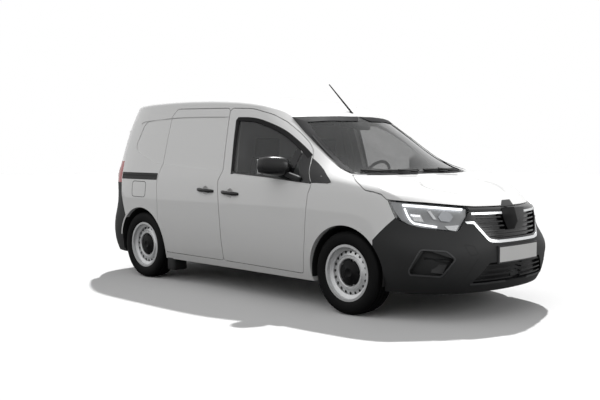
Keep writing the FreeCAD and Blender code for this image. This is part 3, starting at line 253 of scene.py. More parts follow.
FINISHES = {
    "white_paint": paint("white_body_paint", (0.80, 0.80, 0.795), (0.72, 0.715, 0.70)),
    "floor_paint": paint("grey_floor_paint", (0.30, 0.305, 0.305), (0.2, 0.195, 0.19), 0.45, 0.1),
    "grey_panel": paint("grey_bulkhead_paint", (0.52, 0.525, 0.53), (0.46, 0.46, 0.46), 0.45, 0.1),
    "grained_plastic": plastic("grained_black_plastic", (0.012, 0.0125, 0.013), (0.019, 0.0195, 0.020), 0.5,
                               900, 0.3),
    "black_plastic": plastic("gloss_black_plastic", (0.008, 0.008, 0.009), (0.014, 0.014, 0.015), 0.14, 500,
                             0.02),
    "trim_plastic": plastic("cab_trim_plastic", (0.035, 0.036, 0.038), (0.05, 0.051, 0.053), 0.6, 700, 0.3),
    "seat_fabric": cloth("seat_cloth", (0.05, 0.053, 0.06), (0.10, 0.105, 0.115)),
    "glass": clear_glass("tinted_window_glass", (0.03, 0.032, 0.032), 0.36, edge_on=0.95),
    "lamp_glass": clear_glass("lamp_cover", (0.05, 0.055, 0.06), 0.18),
    "red_lens": clear_glass("red_lamp_lens", (0.42, 0.012, 0.014), 0.93, 0.08),
    "engine_metal": metal("cast_alloy", (0.42, 0.43, 0.44), (0.3, 0.3, 0.3), 0.4, 0.9),
    "chassis_steel": plastic("chassis_black_coating", (0.03, 0.03, 0.032), (0.06, 0.055, 0.05), 0.45, 300,
                             0.2),
    "cast_metal": metal("cast_iron_hubs", (0.16, 0.155, 0.15), (0.10, 0.08, 0.06), 0.5, 0.8),
    "tyre_rubber": rubber("tyre_rubber"),
    "wheel_silver": metal("silver_wheel_paint", (0.74, 0.745, 0.75), (0.64, 0.645, 0.65), 0.26, 0.55),
    "bright_trim": metal("bright_trim", (0.80, 0.81, 0.82), (0.72, 0.73, 0.74), 0.12, 0.85),
    "lamp_light": glowing("daytime_light", (0.95, 0.97, 1.0), 2.2),
    "plate_white": plastic("blank_plate", (0.86, 0.86, 0.85), (0.80, 0.80, 0.79), 0.35, 200, 0.05),
    "lamp_shell": metal("lamp_housing", (0.52, 0.53, 0.54), (0.30, 0.305, 0.31), 0.25, 0.3),
    "lamp_lens": metal("lamp_lens", (0.75, 0.77, 0.8), (0.5, 0.52, 0.55), 0.12, 0.4),
    "gloss_edge": plastic("satin_edge_plastic", (0.05, 0.051, 0.053), (0.065, 0.066, 0.068), 0.3, 400, 0.05),
    "mesh_plastic": plastic("textured_block_plastic", (0.015, 0.015, 0.016), (0.03, 0.03, 0.031), 0.45, 130,
                            1.0),
    "screen_border": plastic("screen_border_print", (0.006, 0.006, 0.007), (0.010, 0.010, 0.011), 0.45, 500,
                             0.02, 0.04),
    "amber_lens": clear_glass("amber_lamp_lens", (0.55, 0.17, 0.01), 0.93, 0.08),
    "hub_black": plastic("hub_cover_plastic", (0.005, 0.005, 0.0055), (0.010, 0.010, 0.0105), 0.35, 500, 0.1,
                         0.12),
    # painted shade for the side press line and the bonnet creases
    "press_shade": plastic("shaded_press", (0.34, 0.34, 0.335), (0.40, 0.40, 0.395), 0.5, 200, 0.02),
    # dark joints and wipers, and painted shade in the rim vents, round the slide rail and in its groove
    "shadow_line": plastic("dark_joint", (0.02, 0.02, 0.02), (0.03, 0.03, 0.03), 0.8, 200, 0.05),
}

SLOTS = {entry["node"]: entry["material_slot"] for entry in frame["record"]["subparts"]}
for name, node in frame["nodes"].items():
    node.data.materials.clear()
    node.data.materials.append(FINISHES[SLOTS[name]])


# Helpers for pieces

def new_object(name, data):
    made = bpy.data.objects.new(name, data)
    bpy.context.scene.collection.objects.link(made)
    return made


def make_piece(name, form, finish, body=BODY):
    """Turn a bmesh into a finished piece that rides on a body."""
    mesh = bpy.data.meshes.new(name)
    for face in form.faces:
        face.smooth = True
    form.to_mesh(mesh)
    form.free()
    piece = new_object(name, mesh)
    mesh.materials.append(FINISHES[finish])
    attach(piece, body)
    return piece


def creased(piece, angle=35):
    """Keep sharp edges sharp under smooth shading."""
    form = bmesh.new()
    form.from_mesh(piece.data)
    for edge in form.edges:
        edge.smooth = edge.calc_face_angle(0) < math.radians(angle)
    form.to_mesh(piece.data)
    form.free()
    return piece


def thicken(form, shift):
    """Give a sheet of faces its thickness."""
    top = bmesh.ops.extrude_face_region(form, geom=form.faces[:])
    moved = [item for item in top["geom"] if isinstance(item, bmesh.types.BMVert)]
    bmesh.ops.translate(form, verts=moved, vec=shift)
    bmesh.ops.recalc_face_normals(form, faces=form.faces[:])


def cut_cube(cuts):
    form = bmesh.new()
    bmesh.ops.create_cube(form, size=2)
    bmesh.ops.subdivide_edges(form, edges=form.edges[:], cuts=cuts, use_grid_fill=True)
    return form


def put(form, centre, tilt):
    """Tilt a form about Y and move it to its centre."""
    turn = Matrix.Translation(centre) @ Matrix.Rotation(math.radians(tilt), 4, "Y")
    bmesh.ops.transform(form, matrix=turn, verts=form.verts[:])
    bmesh.ops.recalc_face_normals(form, faces=form.faces[:])


def skin_of(names):
    """Ray target made of the named CAD nodes."""
    corners, faces = [], []
    for name in names:
        mesh = frame["nodes"][name].data
        start = len(corners)
        corners += [vertex.co.copy() for vertex in mesh.vertices]
        faces += [[start + index for index in polygon.vertices] for polygon in mesh.polygons]
    return BVHTree.FromPolygons(corners, faces)


NOT_SKIN = ("antenna", "mirror_left", "mirror_right", "arch_liners")
OUTER_NODES = [name for name in frame["nodes"]
               if name not in NOT_SKIN and not name.startswith(("tyre", "rim", "knuckle"))]
SKIN = skin_of(OUTER_NODES)
CAMERA_PLACE = Vector((5.6926, -5.7339, 1.3059))
CAMERA_YAW = 45.467
CAMERA_PITCH = -3.625
CAMERA_LENS = 51.39
SENSOR_WIDTH = 36.0
PICTURE_WIDTH, PICTURE_HEIGHT = 600, 400
CAMERA_TURN = (Matrix.Rotation(math.radians(CAMERA_YAW), 4, "Z")
               @ Matrix.Rotation(math.radians(90 + CAMERA_PITCH), 4, "X"))


def sight(u, v):
    """Point two metres in front of the camera on the line of sight through a picture point."""
    scale = 2 * SENSOR_WIDTH / CAMERA_LENS / PICTURE_WIDTH
    local = Vector(((u - PICTURE_WIDTH / 2) * scale, (PICTURE_HEIGHT / 2 - v) * scale, -2))
    return CAMERA_PLACE + CAMERA_TURN @ local


# Each view: a way to look and a function that places a flat (u, v) point in front of the skin.
VIEWS = {
    "right": (Vector((0, 1, 0)), lambda u, v: Vector((FRONT_AXLE + u, -2, v))),
    "left": (Vector((0, -1, 0)), lambda u, v: Vector((FRONT_AXLE + u, 2, v))),
    "front": (Vector((-1, 0, 0)), lambda u, v: Vector((4, u, v))),
    "rear": (Vector((1, 0, 0)), lambda u, v: Vector((-4, u, v))),
    "top": (Vector((0, 0, -1)), lambda u, v: Vector((FRONT_AXLE + u, v, 3))),
    "picture": (None, sight),
}
SURVEY = 26
DEGREE = 4
FIT_LIMITS = (0.03, 0.02, 0.012, 0.008, 0.005, 0.003, 0.002, 0.002)
PICTURE_CELLS = 3.5


def terms(u, v):
    return [u ** i * v ** j for i in range(DEGREE + 1) for j in range(DEGREE + 1 - i)]


def envelope(outline, view, skin, margin):
    """Smooth outer surface under an outline, carried over gaps and holes: depth along the ray at (u, v)."""
    way, place = VIEWS[view]
    lows = [min(point[axis] for point in outline) - margin for axis in (0, 1)]
    spans = [max(point[axis] for point in outline) + margin - lows[axis] for axis in (0, 1)]
    rows, depths = [], []
    for i in range(SURVEY):
        for j in range(SURVEY):
            share_u, share_v = (i + 0.5) / SURVEY, (j + 0.5) / SURVEY
            spot = place(lows[0] + spans[0] * share_u, lows[1] + spans[1] * share_v)
            start, ray = (CAMERA_PLACE, (spot - CAMERA_PLACE).normalized()) if way is None else (spot, way)
            depth = skin.ray_cast(start, ray)[3]
            if depth is not None:
                rows.append(terms(2 * share_u - 1, 2 * share_v - 1))
                depths.append(depth)
    rows, depths = numpy.array(rows), numpy.array(depths)
    weights = (depths < numpy.median(depths) + 0.1).astype(float)
    for limit in FIT_LIMITS:
        roots = numpy.sqrt(weights)
        fit = numpy.linalg.lstsq(rows * roots[:, None], depths * roots, rcond=None)[0]
        deeper = depths - rows @ fit
        weights = numpy.where(deeper < 0, 1.0, numpy.where(deeper < limit, 0.12, 1e-5))

    def depth_at(u, v):
        return float(numpy.dot(terms(2 * (u - lows[0]) / spans[0] - 1, 2 * (v - lows[1]) / spans[1] - 1),
                               fit))
    return depth_at


def laid(outline, view, cell, skin, margin, field=None):
    """Flat outline cut into cells and laid on the outer surface; gives the form and its outward way."""
    way, place = VIEWS[view]
    depth_at = field or envelope(outline, view, skin, margin)
    form = bmesh.new()
    form.faces.new([form.verts.new(place(u, v)) for u, v in outline])
    origin = place(0, 0)
    for axis in (0, 1):
        values = [point[axis] for point in outline]
        low, high = min(values), max(values)
        run = (place(1, 0) - origin) if axis == 0 else (place(0, 1) - origin)
        count = int((high - low) * run.length * (PICTURE_CELLS if view == "picture" else 1) / cell)
        for index in range(1, count + 1):
            value = low + index * (high - low) / (count + 1)
            bmesh.ops.bisect_plane(form, geom=form.verts[:] + form.edges[:] + form.faces[:],
                                   plane_co=place(value, 0) if axis == 0 else place(0, value), plane_no=run)
    steps = [place(1, 0) - origin, place(0, 1) - origin]
    outwards = Vector()
    for vertex in form.verts:
        flat = vertex.co - origin
        u, v = (flat.dot(step) / step.length_squared for step in steps)
        start = CAMERA_PLACE if way is None else vertex.co
        ray = (vertex.co - CAMERA_PLACE).normalized() if way is None else way
        outwards -= ray
        vertex.co = start + ray * depth_at(u, v)
    form.normal_update()
    lean = sum((face.normal * face.calc_area() for face in form.faces), Vector())
    return form, (lean if lean.dot(outwards) > 0 else -lean).normalized()


def draped(name, outline, view, finish, body=BODY, thick=0.003, lift=0.0, cell=0.04, slot=None, margin=None,
           skin=None, twin=False, field=None):
    """Plate cut to a flat outline in one view and laid on the outer skin; a twin is on the other side."""
    if margin is None:
        margin = 2.0 if view == "picture" else 0.03
    form, outwards = laid(outline, view, cell, skin or SKIN, margin, field)
    bmesh.ops.recalc_face_normals(form, faces=form.faces[:])
    if sum((face.normal * face.calc_area() for face in form.faces), Vector()).dot(outwards) < 0:
        bmesh.ops.reverse_faces(form, faces=form.faces[:])
    bmesh.ops.translate(form, verts=form.verts[:], vec=outwards * lift)
    thicken(form, outwards * thick)
    if twin:
        copy = form.copy()
        bmesh.ops.scale(copy, vec=(1, -1, 1), verts=copy.verts[:])
        bmesh.ops.reverse_faces(copy, faces=copy.faces[:])
        creased(make_piece(twin_name(name), copy, finish, twin_name(body)))
    return creased(make_piece(name, form, finish, body))


def twin_name(name):
    return name.replace("right", "left")


def strip(points, width):
    """Outline of a narrow band along a line of (u, v) points."""
    upper, lower = [], []
    for index, (u, v) in enumerate(points):
        before = points[max(index - 1, 0)]
        after = points[min(index + 1, len(points) - 1)]
        run = Vector((after[0] - before[0], after[1] - before[1]))
        across = Vector((-run.y, run.x)).normalized() * width / 2
        upper.append((u + across.x, v + across.y))
        lower.append((u - across.x, v - across.y))
    return upper + lower[::-1]


def lathed(profile, centre, side, steps):
    """Spin a (radius, y) profile about a wheel's axle; y grows outwards."""
    form = bmesh.new()
    row = [form.verts.new((centre.x, centre.y + side * y, centre.z + radius)) for radius, y in profile]
    edges = [form.edges.new((row[index], row[index + 1])) for index in range(len(row) - 1)]
    bmesh.ops.spin(form, geom=row + edges, cent=centre, axis=(0, 1, 0), angle=2 * math.pi, steps=steps,
                   use_merge=True)
    bmesh.ops.remove_doubles(form, verts=form.verts[:], dist=1e-5)
    bmesh.ops.recalc_face_normals(form, faces=form.faces[:])
    return form


# Wheels

TYRE_PROFILE = ((0.206, 0.084), (0.222, 0.087), (0.226, 0.0925), (0.234, 0.097), (0.250, 0.1005),
                (0.268, 0.1025), (0.285, 0.1015), (0.300, 0.0975), (0.309, 0.092), (0.316, 0.086),
                (0.3195, 0.080), (0.321, 0.074))
GROOVES = (0.058, 0.020)
HUB_PROFILE = ((0.0001, 0.064), (0.026, 0.064), (0.030, 0.067), (0.038, 0.067), (0.042, 0.061),
               (0.060, 0.060), (0.064, 0.057), (0.090, 0.055), (0.100, 0.050), (0.104, 0.038))
HUB_NOTCHES = 5
VENTS = 20
VENT_RADIUS = 0.158
VENT_EDGE = 0.0145
VENT_LENGTH, VENT_WIDTH, VENT_DEPTH = 0.0155, 0.0115, 0.0014
WHEELS = [(place, word) for place in ("front", "rear") for word in SIDES]


def wheel_place(place, word):
    """Side, centre and body of a wheel."""
    side = SIDES[word]
    centre = Vector((FRONT_AXLE if place == "front" else REAR_AXLE, side * WHEEL_Y, WHEEL_RADIUS))
    return side, centre, f"wheel_{place}_{word}_body"


def tread_profile():
    """Whole tyre section from the outer bead round to the inner one, grooves included."""
    half = list(TYRE_PROFILE)
    crown = []
    for middle in GROOVES:
        level = WHEEL_RADIUS - 0.005 * (middle / 0.075) ** 2
        crown += [(level - 0.0003, middle + 0.0045), (level - 0.007, middle + 0.003),
                  (level - 0.007, middle - 0.003), (level, middle - 0.0045)]
    right = half + crown
    left = [(radius, -y) for radius, y in reversed(right)]
    return right + left


def make_tyre(place, word):
    side, centre, body = wheel_place(place, word)
    form = lathed(tread_profile(), centre, side, 120)
    tyre = creased(make_piece(f"{place}_{word}_tyre_casing", form, "tyre_rubber", body), 40)
    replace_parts(tyre, f"tyre_{place}_{word}")


for place, word in WHEELS:
    make_tyre(place, word)


def make_hub_cover(place, word):
    side, centre, body = wheel_place(place, word)
    form = lathed(HUB_PROFILE, centre, side, 100)
    for vertex in form.verts:
        reach = Vector((vertex.co.x - centre.x, vertex.co.z - centre.z))
        if reach.length > 0.095:
            turn = math.atan2(reach.y, reach.x) * HUB_NOTCHES / (2 * math.pi)
            if abs(turn - round(turn)) < 0.1:
                vertex.co.x -= reach.x * 0.10
                vertex.co.z -= reach.y * 0.10
    make_piece(f"{place}_{word}_hub_cover", form, "hub_black", body)
    make_painted_vent_shadows(place, word)


def make_painted_vent_shadows(place, word):
    """Painted vent shadows: dark ovals on the rim, each at the mean depth of the rim on its two sides."""
    side, centre, body = wheel_place(place, word)
    rim = skin_of([f"rim_{place}_{word}"])
    vents = bmesh.new()
    for index in range(VENTS):
        turn = math.radians(360 / VENTS * index)
        out = Vector((math.cos(turn), 0, math.sin(turn)))
        along = Vector((-out.z, 0, out.x))
        levels = []
        for shift in (-VENT_EDGE, VENT_EDGE):
            start = centre + out * VENT_RADIUS + along * shift + Vector((0, side, 0))
            levels.append(rim.ray_cast(start, Vector((0, -side, 0)))[0].y)
        middle = Vector((centre.x, sum(levels) / 2, centre.z)) + out * VENT_RADIUS
        axes = (out * VENT_LENGTH, along * VENT_WIDTH, Vector((0, VENT_DEPTH, 0)))
        oval = Matrix(axes).transposed().to_4x4()
        bmesh.ops.create_cone(vents, cap_ends=True, segments=12, radius1=1, radius2=1, depth=1,
                              matrix=Matrix.Translation(middle) @ oval)
    bmesh.ops.recalc_face_normals(vents, faces=vents.faces[:])
    # dark ovals in the shadow finish: painted shadow in the rim's vents
    creased(make_piece(f"{place}_{word}_vent_shades", vents, "shadow_line", body))


for place, word in WHEELS:
    make_hub_cover(place, word)


def rounded_box(points, radius):
    """Flat outline with its corners cut round."""
    result = []
    count = len(points)
    for index, (u, v) in enumerate(points):
        here = Vector((u, v))
        before = Vector(points[index - 1]) - here
        after = Vector(points[(index + 1) % count]) - here
        reach = min(radius, before.length / 2.1, after.length / 2.1)
        first, last = here + before.normalized() * reach, here + after.normalized() * reach
        for step in range(5):
            share = step / 4
            bent = first * (1 - share) ** 2 + here * 2 * share * (1 - share) + last * share ** 2
            result.append((bent.x, bent.y))
    return result


def smoothed(points, count=5):
    """Line carried smoothly through its points."""
    result = []
    ends = [points[0]] + list(points) + [points[-1]]
    for before, first, last, after in zip(ends, ends[1:], ends[2:], ends[3:]):
        for step in range(count):
            t = step / count
            result.append(tuple(0.5 * (2 * b + (c - a) * t + (2 * a - 5 * b + 4 * c - d) * t ** 2
                                       + (3 * b - a - 3 * c + d) * t ** 3)
                                for a, b, c, d in zip(before, first, last, after)))
    return result + [points[-1]]


# Side windows, painted shade of the side press, fuel flap, arch lips and handles

WINDOW_SEAL = ([(-1.340, 1.060), (-1.391, 1.530)] + smoothed([(-1.382, 1.541), (-1.200, 1.532),
                                                              (-1.037, 1.494), (-0.832, 1.418),
                                                              (-0.630, 1.305), (-0.494, 1.218)]))
WINDOW_BASE = ((-1.350, 1.074), (-0.900, 1.050), (-0.510, 1.021), (-0.360, 1.013))
WINDOW_DIVIDER = ((-0.650, 1.030), (-0.650, 1.318), (-0.590, 1.284), (-0.590, 1.024))
SAIL_DOOR = ((-0.490, 1.018), (-0.585, 1.268), (-0.486, 1.219), (-0.436, 1.120), (-0.362, 1.013))
SAIL_PILLAR = ((-0.351, 1.012), (-0.424, 1.120), (-0.470, 1.206), (-0.300, 1.117), (-0.160, 1.036),
               (-0.145, 1.022), (-0.185, 1.013))
for word in SIDES:
    door = f"door_front_{word}_body"
    pane = skin_of([f"front_door_{word}"])
    draped(f"{word}_window_top_rubber", strip(WINDOW_SEAL, 0.034), word, "hub_black", door, skin=pane,
           slot="black_plastic")
    draped(f"{word}_window_sill_rubber", strip(WINDOW_BASE, 0.014), word, "black_plastic", door, thick=0.005,
           skin=pane, slot="black_plastic")
    draped(f"{word}_window_divider", WINDOW_DIVIDER, word, "black_plastic", door, lift=-0.008, skin=pane,
           slot="black_plastic")
    draped(f"{word}_mirror_sail", SAIL_DOOR, word, "black_plastic", door, skin=pane, slot="black_plastic")
    draped(f"{word}_pillar_sail", SAIL_PILLAR, word, "black_plastic", slot="black_plastic",
           skin=skin_of([f"front_fender_{word}", f"side_body_{word}"]), margin=0.08)


def closed_strip(outline, width):
    """Two bands that together follow a closed outline, so that each stays a simple face."""
    half = len(outline) // 2
    return [strip(outline[:half + 1], width), strip(outline[half:] + outline[:1], width)]


def outlined(name, outline, width, view, finish, **options):
    for index, band in enumerate(closed_strip(outline, width)):
        draped(f"{name}_{index}", band, view, finish, **options)


# Painted shade along the upper side press line.
SIDE_PRESS = ((141.9, 124.2), (143.2, 122.6), (146.2, 121.7), (158.0, 120.0), (172.0, 118.4), (186.0, 117.5),
              (201.4, 117.0), (229.0, 117.0))
draped("side_press_shade", strip(SIDE_PRESS, 0.45), "picture", "press_shade", thick=0.0006, cell=0.03)
FUEL_FLAP = rounded_box(((-2.873, 0.803), (-2.640, 0.803), (-2.630, 0.955), (-2.868, 0.955)), 0.035)
outlined("fuel_flap_joint", FUEL_FLAP, 0.005, "right", "shadow_line", thick=0.0008)


ARC_STEPS = 22


def arc(radius, first, last):
    """Points round a wheel centre, by degrees from straight ahead over the top."""
    turns = [math.radians(first + (last - first) * index / ARC_STEPS) for index in range(ARC_STEPS + 1)]
    return [(radius * math.cos(turn), WHEEL_RADIUS + radius * math.sin(turn)) for turn in turns]


for word in SIDES:
    rear_arch = [(u + REAR_AXLE - FRONT_AXLE, v) for u, v in arc(0.383, -10, 168)]
    draped(f"{word}_rear_arch_lip", strip(rear_arch, 0.020), word, "white_paint", thick=0.0025, cell=0.03,
           skin=skin_of([f"side_body_{word}"] + (["sliding_door"] if word == "right" else [])),
           slot="white_paint")
    draped(f"{word}_front_arch_lip", strip(arc(0.383, 62, 190), 0.020), word, "white_paint", thick=0.0025,
           cell=0.03, skin=skin_of([f"front_fender_{word}"]), slot="white_paint")


HANDLE_RINGS, HANDLE_RING = 21, 14
HANDLE_STAND = 0.030
FRONT_HANDLE = (-1.462, -1.225, 0.893)


def bar_handle(name, start, end, height, word, body):
    """Pull handle: a rounded bar on two feet, bowed away from the skin."""
    side = SIDES[word]
    skin = envelope(((start, height - 0.04), (end, height + 0.04)), word, SKIN, 0.06)
    form = bmesh.new()
    rings = []
    for index in range(HANDLE_RINGS):
        share = index / (HANDLE_RINGS - 1)
        u = start + (end - start) * share
        level = height - 0.010 * (share - 0.5)
        y = side * (2 - skin(u, level))
        bow = math.sin(math.pi * min(max((share - 0.02) / 0.96, 0), 1)) ** 0.4
        swell = 0.35 + 0.65 * math.sin(math.pi * share) ** 0.3
        waist = 1 - 0.22 * math.exp(-((share - 0.5) / 0.16) ** 2)
        ring = []
        for step in range(HANDLE_RING):
            turn = 2 * math.pi * step / HANDLE_RING
            ring.append(form.verts.new((FRONT_AXLE + u,
                                        y + side * (HANDLE_STAND * bow - 0.006 + 0.010 * math.cos(turn)),
                                        level + 0.019 * swell * waist * math.sin(turn))))
        rings.append(ring)
    for first, second in zip(rings, rings[1:]):
        for step in range(HANDLE_RING):
            following = (step + 1) % HANDLE_RING
            form.faces.new((first[step], first[following], second[following], second[step]))
    form.faces.new(rings[0])
    form.faces.new(rings[-1])
    bmesh.ops.recalc_face_normals(form, faces=form.faces[:])
    return creased(make_piece(name, form, "black_plastic", body), 60)


for word in SIDES:
    bar_handle(f"front_{word}_handle", *FRONT_HANDLE, word, f"door_front_{word}_body")
bar_handle("sliding_door_handle", -1.808, -1.568, 0.905, "right", BODY)


# Windscreen: dark border, wipers, sensor housing, inner mirror and sun visors

SCREEN_SKIN = skin_of(["windscreen"])
SCREEN = envelope(((-0.80, -0.71), (0.09, 0.71)), "top", SCREEN_SKIN, 0.0)
SCREEN_RIM = ((0.034 * WHEELBASE, 0.28), (0.007 * WHEELBASE, 0.53), (-0.0825, 0.700), (-0.40, 0.672),
              (-0.60, 0.640))
for word, side in SIDES.items():
    rim = [(u, side * v) for u, v in SCREEN_RIM]
    base = [(0.100, side * 0.002)] + rim[:2] + [(-0.030, side * 0.620)]
    draped(f"{word}_screen_side_border", strip(rim[2:], 0.030), "top", "screen_border", thick=0.0006,
           lift=0.0003, field=SCREEN)
    draped(f"{word}_screen_base_border", strip(base, 0.050), "top", "screen_border",
           thick=0.0006, lift=0.0003, field=SCREEN)
PILLAR_BAND = ((292.0, 117.6), (303.5, 131.0), (315.2, 143.5), (327.5, 155.8), (339.7, 167.4), (346.8, 171.6),
               (355.0, 173.8), (352.5, 171.0), (343.0, 164.5), (334.5, 156.0), (324.5, 144.5), (314.0, 131.5),
               (307.0, 122.0), (301.0, 120.5))
ROOF_BAND = ((292.0, 117.5), (310.0, 116.9), (340.0, 116.6), (358.0, 117.2), (358.0, 121.5), (330.0, 121.0),
             (310.0, 122.2), (301.0, 121.5))
for name, band, lift in (("pillar", PILLAR_BAND, 0.005), ("roof", ROOF_BAND, 0.003)):
    draped(f"right_screen_{name}_band", band, "picture", "screen_border", thick=0.002, lift=lift, cell=0.02,
           margin=0.8, twin=True)
WIPER_WIDTH = 0.016
WIPERS = (
    ("right_wiper_blade", ((-0.075, -0.640), (-0.010, -0.520), (0.040, -0.330), (0.068, -0.090)), 0.014,
     0.004),
    ("left_wiper_blade", ((0.070, -0.020), (0.066, 0.180), (0.036, 0.370), (-0.010, 0.520)), 0.014, 0.004),
    ("right_wiper_arm", ((0.112, -0.160), (0.075, -0.270), (0.052, -0.330)), 0.010, 0.018),
    ("left_wiper_arm", ((0.085, 0.440), (0.078, 0.300), (0.070, 0.180)), 0.010, 0.018),
)
for name, line, thick, lift in WIPERS:
    draped(name, strip(line, WIPER_WIDTH), "top", "shadow_line", field=SCREEN, thick=thick, lift=lift)


BLOCK_CUTS, MIRROR_CUTS, SEAT_CUTS = 5, 15, 19


def soft_block(name, centre, size, finish, body=BODY, tilt=0.0, round_share=0.35):
    """Box with well-rounded edges, tilted about Y."""
    form = cut_cube(BLOCK_CUTS)
    least = min(size)
    for vertex in form.verts:
        spot = Vector([vertex.co[axis] * size[axis] / 2 for axis in range(3)])
        core = Vector([max(-1, min(1, spot[axis] / (size[axis] / 2 - least * round_share)))
                       * (size[axis] / 2 - least * round_share) for axis in range(3)])
        out = spot - core
        if out.length > 1e-7:
            spot = core + out.normalized() * least * round_share
        vertex.co = spot
    put(form, centre, tilt)
    return creased(make_piece(name, form, finish, body), 60)


soft_block("sensor_housing", (0.600, 0, 1.492), (0.150, 0.200, 0.050), "trim_plastic", tilt=26)
soft_block("inner_mirror", (0.505, 0, 1.495), (0.030, 0.235, 0.065), "trim_plastic", tilt=-12)
for word, side in SIDES.items():
    soft_block(f"{word}_sun_visor", (0.400, side * 0.34, 1.510), (0.150, 0.330, 0.022), "seat_fabric",
               tilt=14)


# Door mirrors and guards behind the wheels

MIRROR_X, MIRROR_Y, MIRROR_Z = 0.462, 0.994, 1.148
MIRROR_POWER = 3.2


def mirror_head(name, side, body):
    """Rounded shell, flat behind where the glass sits and deeper towards the door."""
    form = cut_cube(MIRROR_CUTS)
    for vertex in form.verts:
        flat = Vector(vertex.co)
        spread = sum(abs(part) ** MIRROR_POWER for part in flat) ** (1 / MIRROR_POWER)
        u, v, w = flat / spread
        inner = (1 - v) / 2
        depth = 0.130 + 0.105 * inner
        x = MIRROR_X + max(u + 0.86, 0) / 1.86 * depth
        z = MIRROR_Z - 0.012 * inner + 0.083 * w * (0.90 + 0.10 * inner)
        vertex.co = (x, side * (MIRROR_Y + 0.112 * v), z)
    bmesh.ops.recalc_face_normals(form, faces=form.faces[:])
    return creased(make_piece(name, form, "black_plastic", body), 50)


for word, side in SIDES.items():
    door = f"door_front_{word}_body"
    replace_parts(mirror_head(f"{word}_mirror_shell", side, door), f"mirror_{word}")
    soft_block(f"{word}_mirror_glass", (0.4615, side * 0.996, 1.136), (0.007, 0.164, 0.122), "bright_trim",
               door)
    soft_block(f"{word}_mirror_arm", (0.715, side * 0.912, 1.056), (0.170, 0.050, 0.046), "grained_plastic",
               door, tilt=14)
    soft_block(f"{word}_rear_guard", (-1.018, side * 0.800, 0.180), (0.110, 0.160, 0.140), "grained_plastic",
               round_share=0.15)


# Antenna

MAST_FOOT_RADIUS, MAST_TIP_RADIUS = 0.0085, 0.0050
ROD = [node.co for node in frame["nodes"]["antenna"].data.vertices]
ROD_FOOT, ROD_TIP = min(ROD, key=lambda spot: spot.z).copy(), max(ROD, key=lambda spot: spot.z).copy()
ROD_FOOT.y = ROD_TIP.y = 0
mast = bmesh.new()
bmesh.ops.create_cone(mast, cap_ends=True, segments=16, radius1=MAST_FOOT_RADIUS, radius2=MAST_TIP_RADIUS,
                      depth=(ROD_TIP - ROD_FOOT).length)
bmesh.ops.transform(mast, verts=mast.verts[:], matrix=Matrix.Translation((ROD_FOOT + ROD_TIP) / 2)
                    @ (ROD_TIP - ROD_FOOT).to_track_quat("Z", "Y").to_matrix().to_4x4())
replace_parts(creased(make_piece("antenna_mast", mast, "hub_black", BODY)), "antenna")
soft_block("antenna_foot", ROD_FOOT + Vector((-0.047, 0, 0)), (0.105, 0.042, 0.030), "hub_black", tilt=6,
           round_share=0.45)


# Headlamps

LAMP_BACK = ((390.5, 201.2), (440, 206.0), (466, 209.0), (466, 216), (458.0, 230.5), (441, 229), (414, 226.5),
             (402, 220), (395, 211))
LAMP_TOP_LIGHT = ((402.5, 203.9), (402.5, 205.9), (462.0, 210.3), (462.5, 208.5))
LAMP_SIDE_LIGHT = ((404.5, 208.3), (408.0, 216.5), (410.5, 220.5), (414.0, 223.4), (424, 225.2),
                   (437.0, 227.0))
LAMP_PARTS = (
    ("right_lamp_backing", LAMP_BACK, "lamp_shell", 0.001, -0.020),
    ("right_lamp_top_light", LAMP_TOP_LIGHT, "lamp_light", 0.003, -0.005),
    ("right_lamp_side_light", strip(LAMP_SIDE_LIGHT, 1.7), "lamp_light", 0.003, -0.005),
    ("right_lamp_reflector", ((410, 213.5), (420.5, 214.5), (424, 222.0), (414.5, 221)), "bright_trim", 0.004,
     -0.014),
    ("right_lamp_fin", ((410.5, 214.6), (420.0, 215.5), (420.3, 216.6), (411, 215.8)), "lamp_light", 0.002,
     -0.008),
    ("right_lamp_divider", ((427, 210.5), (430.5, 210.8), (437, 219.6), (433.5, 219.4)), "bright_trim", 0.006,
     -0.010),
    ("right_lamp_lens", ((442, 211.5), (449, 212), (453.5, 217), (449.5, 222), (441, 221), (438.5, 217)),
     "lamp_lens", 0.008, -0.012),
    ("right_lamp_foot", ((445, 226), (459.5, 225), (456.5, 231.0), (449, 229.8)), "bright_trim", 0.002,
     -0.012),
)
LAMP_SKIN = skin_of(["headlamps"])
for name, outline, finish, thick, lift in LAMP_PARTS:
    draped(name, outline, "picture", finish, thick=thick, lift=lift, skin=LAMP_SKIN, twin=True)


# Bonnet creases, drawn as painted shade lines

BONNET_CREASE_SHADES = {
    "right_bonnet_outer_crease": ((412.8, 179.9), (422.0, 183.6), (433.4, 188.1), (447.0, 191.9),
                                  (461.0, 194.5)),
    "right_bonnet_inner_crease": ((478.0, 179.6), (488.0, 181.8), (497.0, 185.0), (504.0, 189.2),
                                  (509.3, 194.1)),
}
# painted shade lines along the bonnet creases
for name, line in BONNET_CREASE_SHADES.items():
    draped(name, strip(smoothed(line, 3), 0.35), "picture", "press_shade", "bonnet_body", thick=0.0006,
           margin=3.0, skin=skin_of(["bonnet"]), twin=True)


# Front bumper, painted shadow round the slide rail, painted shade in its groove, and lower grille block

